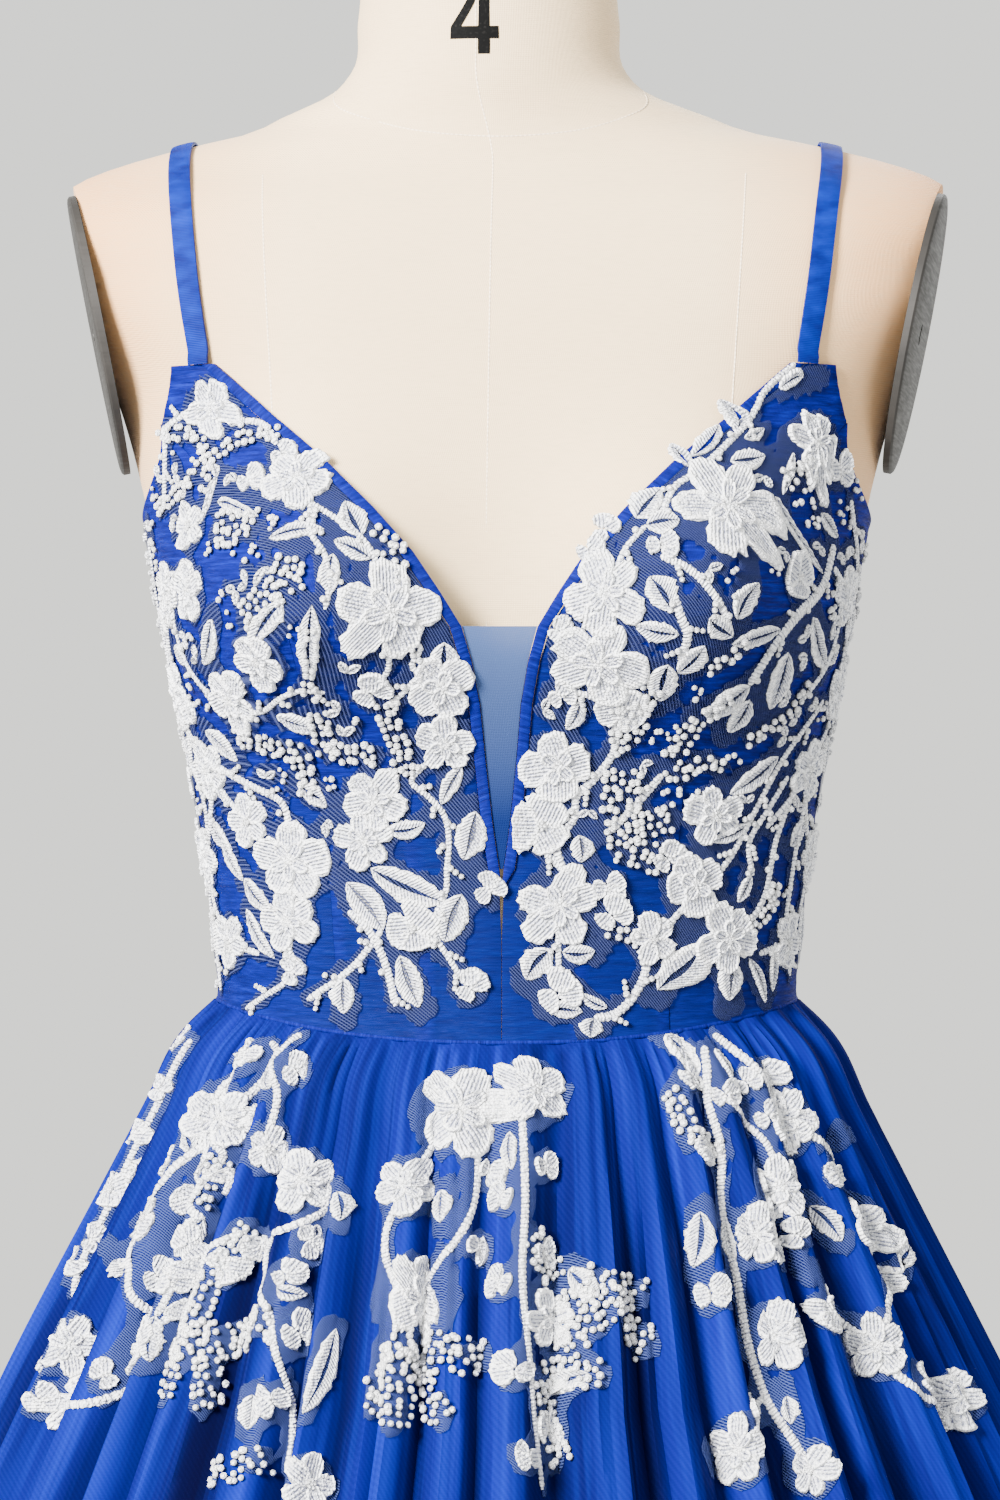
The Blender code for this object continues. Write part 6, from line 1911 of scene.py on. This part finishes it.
    def companions(self, cords, turn):
        """Buds beside the longer cords, where no flower or bud is near."""
        for row in cords:
            places, way = self.course(row, turn)
            rng = np.random.default_rng(int(row[1] * 5 + row[2] * 3))
            count = int(way[-1] / BUD_STEP)
            for k in range(count):
                at = way[-1] * (k + rng.uniform(0.3, 0.7)) / count
                here, along = self.on_course(places, way, at)
                side = 1 if k % 2 else -1
                radius = rng.uniform(*BUD_RADIUS)
                off = side * (radius + BUD_OFF)
                spot = self.sheet.spots(here, [(-along[1] * off, along[0] * off)])[0]
                centre = self.sheet.mix(self.sheet.points, spot)
                near = [
                    np.linalg.norm(self.sheet.mix(self.sheet.points, np.array(place)) - centre) - size
                    for place, size in self.rounds
                ]
                if min(near, default=1.0) < radius * 0.8:
                    continue
                heading = np.arctan2(along[0] * off, -along[1] * off)
                self.rounds.append((tuple(spot), radius))
                self.bud(tuple(spot), radius, heading, int(row[1] + 31 * k))

    def knot(self, spot, size, lift):
        """A small round knot of thread."""
        normal = unit(self.sheet.mix(self.sheet.normals, np.array(spot)))
        centre = self.sheet.mix(self.sheet.points, np.array(spot)) + normal * lift
        side = unit(np.cross(normal, (0.3, 0.2, 0.9)))
        other = np.cross(normal, side)
        top = normal * size * KNOT_FLAT
        points = [centre + top]
        for i in range(1, KNOT_RINGS):
            tilt = pi * i / KNOT_RINGS
            for k in range(KNOT_SIDES):
                turn = 2 * pi * (k + 0.5 * (i % 2)) / KNOT_SIDES
                around = side * cos(turn) + other * sin(turn)
                points.append(centre + around * size * sin(tilt) + top * cos(tilt))
        points.append(centre - top)
        faces = dome_faces(KNOT_RINGS - 2, KNOT_SIDES)
        last = 1 + (KNOT_RINGS - 2) * KNOT_SIDES
        for k in range(KNOT_SIDES):
            faces.append((last + k, len(points) - 1, last + (k + 1) % KNOT_SIDES))
        at = np.arange(len(points))
        shade = np.where(at <= 2 * KNOT_SIDES, 0.9, 0.3)
        self.parts.add(points, faces, np.stack((at * 0.0004, at * 0.0003, shade), axis=1))

    def sewn_knot(self, spot, size):
        """A knot that sits on the net."""
        self.knot(spot, size, NET_LIFT + size * 0.6)

    def beads(self, row, turn):
        """Knots in rows along a course as wide as the row says."""
        places, way = self.course(row, turn)
        half = row[0] * PICTURE_UNIT / 2
        self.run_along(places, half)
        step = BEAD_SIZE * 2.05
        lanes = max(2, int(round(2 * half / step * LANES_FULLER)))
        count = max(2, int(way[-1] / step))
        rng = np.random.default_rng(int(row[1] * 13 + row[2]))
        for k in range(count + 1):
            here, along = self.on_course(places, way, way[-1] * k / count)
            for lane in range(lanes):
                off = (lane - (lanes - 1) / 2) * step + rng.uniform(-0.3, 0.3) * step
                shift = rng.uniform(-0.35, 0.35) * step
                move = (along[0] * shift - along[1] * off, along[1] * shift + along[0] * off)
                spot = self.sheet.spots(here, [move])[0]
                self.sewn_knot(spot, BEAD_SIZE * rng.uniform(0.82, 1.15))

    def fill(self, flowers, leaves, cords, beads, turn):
        for row in cords:
            self.cord(row, turn)
            if self.bare:
                self.twigs(row, turn)
        for row in beads:
            self.beads(row, turn)
        for row in leaves:
            self.leaf(row, turn)
        for row in flowers:
            self.flower(row, turn)
        if not self.bare:
            self.companions(cords, turn)

    def net_field(self, places):
        """How far inside the net's edge each place lies, in metres."""
        spots = self.sheet.mix(self.sheet.points, places)
        total = np.full(len(spots), TINY)
        for place, radius in self.rounds:
            centre = self.sheet.mix(self.sheet.points, np.array(place))
            total += np.exp((radius * 0.95 - np.linalg.norm(spots - centre, axis=1)) / self.blend)
        for first, second, half in self.runs:
            a = self.sheet.mix(self.sheet.points, np.array(first))
            b = self.sheet.mix(self.sheet.points, np.array(second))
            way = b - a
            share = np.clip((spots - a) @ way / max(np.dot(way, way), TINY), 0, 1)
            away = np.linalg.norm(spots - a - share[:, None] * way, axis=1)
            total += np.exp((half - away) / self.blend)
        best = -self.blend * np.log(total)
        wobble = 0.0009 * np.sin(places[:, 0] * 1.1 + 2 * np.sin(places[:, 1] * 0.7))
        wobble += 0.0006 * np.sin(places[:, 1] * 2.3 + places[:, 0] * 1.9)
        return self.reach + wobble - best

    def net(self, name, finish):
        """The net ground: the sheet's own cells, cut along the edge of the field."""
        rows, wide = self.sheet.rows, self.sheet.columns
        places = np.stack(np.meshgrid(np.arange(wide), np.arange(rows)), axis=-1).reshape(-1, 2)
        field = self.net_field(places)
        corners = {}
        spots = []

        def corner(k):
            if k not in corners:
                corners[k] = len(spots)
                spots.append(places[k])
            return corners[k]

        def crossing(a, b):
            key = (min(a, b), max(a, b))
            if key not in corners:
                low, high = key
                share = field[low] / (field[low] - field[high])
                share = min(max(share, 0.03), 0.97)
                corners[key] = len(spots)
                spots.append(places[low] + (places[high] - places[low]) * share)
            return corners[key]

        faces = []
        inside = field > 0
        for i in range(rows - 1):
            for j in range(self.bare, wide - 1):
                if not self.sheet.known[i, j]:
                    continue
                a = i * wide + j
                for triangle in ((a, a + 1, a + wide), (a + 1, a + wide + 1, a + wide)):
                    ring = []
                    for at, after in zip(triangle, triangle[1:] + triangle[:1]):
                        if inside[at]:
                            ring.append(corner(at))
                        if inside[at] != inside[after]:
                            ring.append(crossing(at, after))
                    if len(ring) >= 3:
                        faces.append(tuple(ring))
        spots = np.array(spots)
        high = self.sheet.at(spots, np.full(len(spots), NET_LIFT + NET_THICK))
        low = self.sheet.at(spots, np.full(len(spots), NET_LIFT))
        if self.faces_down(high, faces, spots):
            faces = [face[::-1] for face in faces]
        ways = {(face[k], face[(k + 1) % len(face)]) for face in faces for k in range(len(face))}
        count = len(spots)
        rim = [(b, a, a + count, b + count) for a, b in ways if (b, a) not in ways]
        under = [tuple(k + count for k in face[::-1]) for face in faces]
        place = high[:, [0, 2, 1]].copy()
        place[:, 0] += high[:, 1]
        points = np.concatenate((high, low))
        return new_object(name, points, faces + under + rim, finish, np.concatenate((place, place)), 0)


def mirrored(table, kind):
    """A table of the turned view as the other side of the dress has it."""
    width = 2 * PICTURE_MIDDLE[0]
    if kind == "cords":
        return [
            (row[0], *(width - value if k % 2 == 0 else value for k, value in enumerate(row[1:])))
            for row in table
        ]
    if kind == "leaves":
        return [(width - row[0], row[1], width - row[2], row[3], row[4]) for row in table]
    return [(width - row[0], *row[1:]) for row in table]


def turned_tables(side, *tables):
    """Flowers, leaves and cords of the turned view, for one side of the dress."""
    if side > 0:
        return tables
    return [mirrored(table, kind) for table, kind in zip(tables, ("flowers", "leaves", "cords"))]


OVERHANG = 0.013
NECK_CELLS = 8
FRONT_CELLS = 36
SIDE_CELLS = 38
CELL_TALL = 0.0022
LACE_GAP = 0.0003


def bodice_sheet(side):
    """The neck edge, the front panel and the side panel as one face under the lace."""
    table = []
    front = np.linspace(0, 1, FRONT_CELLS + 1)
    beside = np.linspace(0, 1, SIDE_CELLS + 1)[1:]
    for i, level in enumerate(LEVELS):
        panel = front_place(front, i)
        half = float(neck_half(level)) if i >= FIXED_ROWS else 0.0
        height = float(panel[1][0])
        first = float(angle_at(half - OVERHANG, height, BODICE_OUT))
        edge = np.linspace(first, panel[0][0], NECK_CELLS + 1)[:-1]
        edge_z = np.full(NECK_CELLS, height)
        flank = side_place(beside, min(i, SEAM_ROWS - 1))
        table.append([np.concatenate(row) for row in zip((edge, edge_z), panel, flank)])
    heights = np.linspace(LEVELS[0], LEVELS[-1], int((LEVELS[-1] - LEVELS[0]) / CELL_TALL) + 1)
    rows_at = np.interp(heights, LEVELS, np.arange(len(LEVELS)))
    table = refined(np.array(table), at=rows_at)
    angle = table[:, 0] * side
    z = table[:, 1]
    points = bodice_point(angle, z, BODICE_OUT + LACE_GAP)
    normals = bodice_normal(angle, z)
    rows, columns = z.shape
    known = np.ones((rows - 1, columns - 1), bool)
    known[rows_at[:-1] < FIXED_ROWS + 2, :NECK_CELLS] = False
    known[rows_at[1:] > SEAM_ROWS - 1, NECK_CELLS + FRONT_CELLS :] = False
    return Sheet(points, normals, known, BODICE_CENTRE)


def on_side(table, side, column=0):
    return [row for row in table if (row[column] - PICTURE_MIDDLE[0]) * side > 0]


def lace_bodice(side, finish, net_finish):
    lace = Lace(bodice_sheet(side), NECK_CELLS)
    lace.fill(
        on_side(BODICE_FLOWERS, side), on_side(BODICE_LEAVES, side),
        on_side(BODICE_CORDS, side, 1), on_side(BODICE_BEADS, side, 1), 0,
    )
    tables = turned_tables(side, SIDE_FLOWERS, SIDE_LEAVES, SIDE_CORDS)
    lace.fill(*tables, (), SIDE_VIEW * side)
    lace.fillers(1500, 0.0030, 0.0090, 11 + side)
    worked = lace.parts.made(f"bodice_embroidery_{SIDE_WORD[side]}", finish)
    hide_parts(f"lace_bodice_{SIDE_WORD[side]}")
    return worked, lace.net(f"bodice_net_{SIDE_WORD[side]}", net_finish)


SKIRT_NET_REACH = 0.0014
SKIRT_NET_BLEND = 0.0017
# The sprays of the skirt: name, side, and the part of the picture's width that each takes up.
SPRAYS = (
    ("left", -1, 0, 350),
    ("middle", 0, 350, 640),
    ("right", 1, 640, 1000),
)
SKIRT_TABLES = ((SKIRT_FLOWERS, 0), (SKIRT_LEAVES, 0), (SKIRT_CORDS, 1), (SKIRT_BEADS, 1))


def lace_skirt(finish, net_finish):
    points, normals = skirt_grid(*FRONT_FOLDS)
    known = np.ones((points.shape[0] - 1, points.shape[1] - 1), bool)
    sheet = Sheet(points, normals, known, SKIRT_CENTRE)
    made = []
    for word, side, low, high in SPRAYS:
        lace = Lace(sheet, 0, SKIRT_NET_REACH, SKIRT_NET_BLEND)
        tables = [
            [row for row in table if low <= row[column] < high] for table, column in SKIRT_TABLES
        ]
        lace.fill(*tables, 0)
        if side:
            tables = turned_tables(side, SKIRT_SIDE_FLOWERS, SKIRT_SIDE_LEAVES, SKIRT_SIDE_CORDS)
            lace.fill(*tables, (), SIDE_VIEW * side)
        worked = lace.parts.made(f"skirt_embroidery_{word}", finish)
        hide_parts(f"lace_skirt_{word}")
        made.append((worked, lace.net(f"skirt_net_{word}", net_finish)))
    return made


# ---- the room ----
FLOOR_STEPS = 96
FLOOR_RADIUS = 0.75
FLOOR_LOW = -0.0005
# The lamps: name, place, size, power, colour.
LAMPS = (
    ("key", (-1.7, -2.1, 2.3), 1.0, 640.0, (1.0, 0.985, 0.96)),
    ("fill", (1.9, -1.7, 1.5), 1.6, 30.0, (0.96, 0.98, 1.0)),
    ("rear", (0.4, 2.2, 2.4), 1.5, 45.0, (1.0, 1.0, 1.0)),
)


def studio():
    world = bpy.data.worlds.new("studio")
    world.use_nodes = True
    back = world.node_tree.nodes["Background"]
    back.inputs["Color"].default_value = rgb(214, 214, 210)
    back.inputs["Strength"].default_value = 2.0
    bpy.context.scene.world = world
    for name, place, size, power, colour in LAMPS:
        lamp = bpy.data.lights.new(name, "AREA")
        lamp.size = size
        lamp.energy = power
        lamp.color = colour
        made = bpy.data.objects.new(name, lamp)
        made.location = place
        aim = Vector((0, 0, 1.1)) - Vector(place)
        made.rotation_euler = aim.to_track_quat("-Z", "Y").to_euler()
        bpy.context.scene.collection.objects.link(made)


def floor_finish():
    made = Finish("studio_floor")
    cloudy = made.noise((3, 3, 3), "space", 3.0)
    colour = made.mix(made.ranged(cloudy, 0.3, 0.7), rgb(205, 205, 201), rgb(212, 212, 208))
    return made.set(Base_Color=colour, Roughness=0.8)


def floor():
    turns = [2 * pi * k / FLOOR_STEPS for k in range(FLOOR_STEPS)]
    points = [(FLOOR_RADIUS * cos(turn), FLOOR_RADIUS * sin(turn), FLOOR_LOW) for turn in turns]
    face = tuple(range(FLOOR_STEPS))
    new_object("floor", points, [face], floor_finish(), smooth_angle=0)


def camera():
    lens = bpy.data.cameras.new("camera")
    lens.sensor_fit = "HORIZONTAL"
    lens.sensor_width = 36.0
    half_wide = PICTURE_WIDTH / 2 * PICTURE_UNIT / EYE_AWAY
    lens.lens = lens.sensor_width / 2 / half_wide
    lens.shift_x = (PICTURE_WIDTH / 2 - PICTURE_MIDDLE[0]) / PICTURE_WIDTH
    made = bpy.data.objects.new("camera", lens)
    heading = radians(EYE_TURN)
    made.location = (sin(heading) * EYE_AWAY, -cos(heading) * EYE_AWAY, EYE_HEIGHT)
    made.rotation_euler = (pi / 2, 0, heading)
    bpy.context.scene.collection.objects.link(made)
    bpy.context.scene.camera = made


# The bodice's panels on each side: name, rows of the pattern, where their points lie.
PANELS = (
    ("front", len(LEVELS), front_place),
    ("side", SEAM_ROWS, side_place),
    ("back", SEAM_ROWS, back_place),
)
# The skirt's panels: name, first and last fold.
SKIRT_PANELS = (
    ("skirt_front", *FRONT_FOLDS),
    ("skirt_back_right", FRONT_FOLDS[1], len(FOLDS) - 0.5),
    ("skirt_back_left", -0.5, FRONT_FOLDS[0]),
)


def body_slot(obj):
    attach(obj, "root")


def main():
    camera()
    studio()
    floor()
    linen = linen_finish()
    thread = seam_finish()
    plate = metal_finish("dark_plate", rgb(24, 22, 20), rgb(44, 41, 38), 0.55)
    stand = metal_finish("stand_metal", rgb(40, 40, 42), rgb(62, 62, 64), 0.35)
    ink = ink_finish()
    crinkle = crinkle_finish()
    ribbon = ribbon_finish()
    tulle = tulle_finish()
    sheer = sheer_finish()
    white = thread_finish()
    net = net_finish("bodice_net", rgb(2, 6, 30), rgb(58, 66, 106), rgb(44, 50, 84))
    skirt_net = net_finish("skirt_net", rgb(4, 10, 54), rgb(70, 84, 138), rgb(54, 66, 118))
    zip_metal = metal_finish("zip_coil", rgb(16, 50, 150), rgb(30, 70, 175), 0.4)

    torso = form_torso(linen)
    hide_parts("form_torso")
    tree = BVHTree.FromObject(torso, bpy.context.evaluated_depsgraph_get())
    body_slot(torso)
    body_slot(form_seams(thread))
    body_slot(numeral(ink))
    body_slot(neck_cap(plate))
    for piece in form_stand(stand):
        body_slot(piece)

    closing = back_zip(ribbon, zip_metal)
    for piece in closing:
        body_slot(piece)
    for side, word in SIDE_WORD.items():
        body_slot(arm_plate(side, plate))
        for kind, rows, place in PANELS:
            piece = bodice_panel(f"{kind}_panel_{word}", side, rows, place, crinkle)
            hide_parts(f"bodice_{kind}_{word}")
            body_slot(piece)
        binding = neck_binding(side, crinkle)
        body_slot(binding)
        band = strap(side, tree, ribbon)
        body_slot(band)
        worked, ground = lace_bodice(side, white, net)
        body_slot(worked)
        body_slot(ground)
    insert = mesh_insert(sheer)
    body_slot(insert)
    piping = waist_piping(crinkle)
    body_slot(piping)
    for name, first, last in SKIRT_PANELS:
        piece = skirt_panel(name, first, last, tulle)
        body_slot(piece)
    for worked, ground in lace_skirt(white, skirt_net):
        body_slot(worked)
        body_slot(ground)


main()
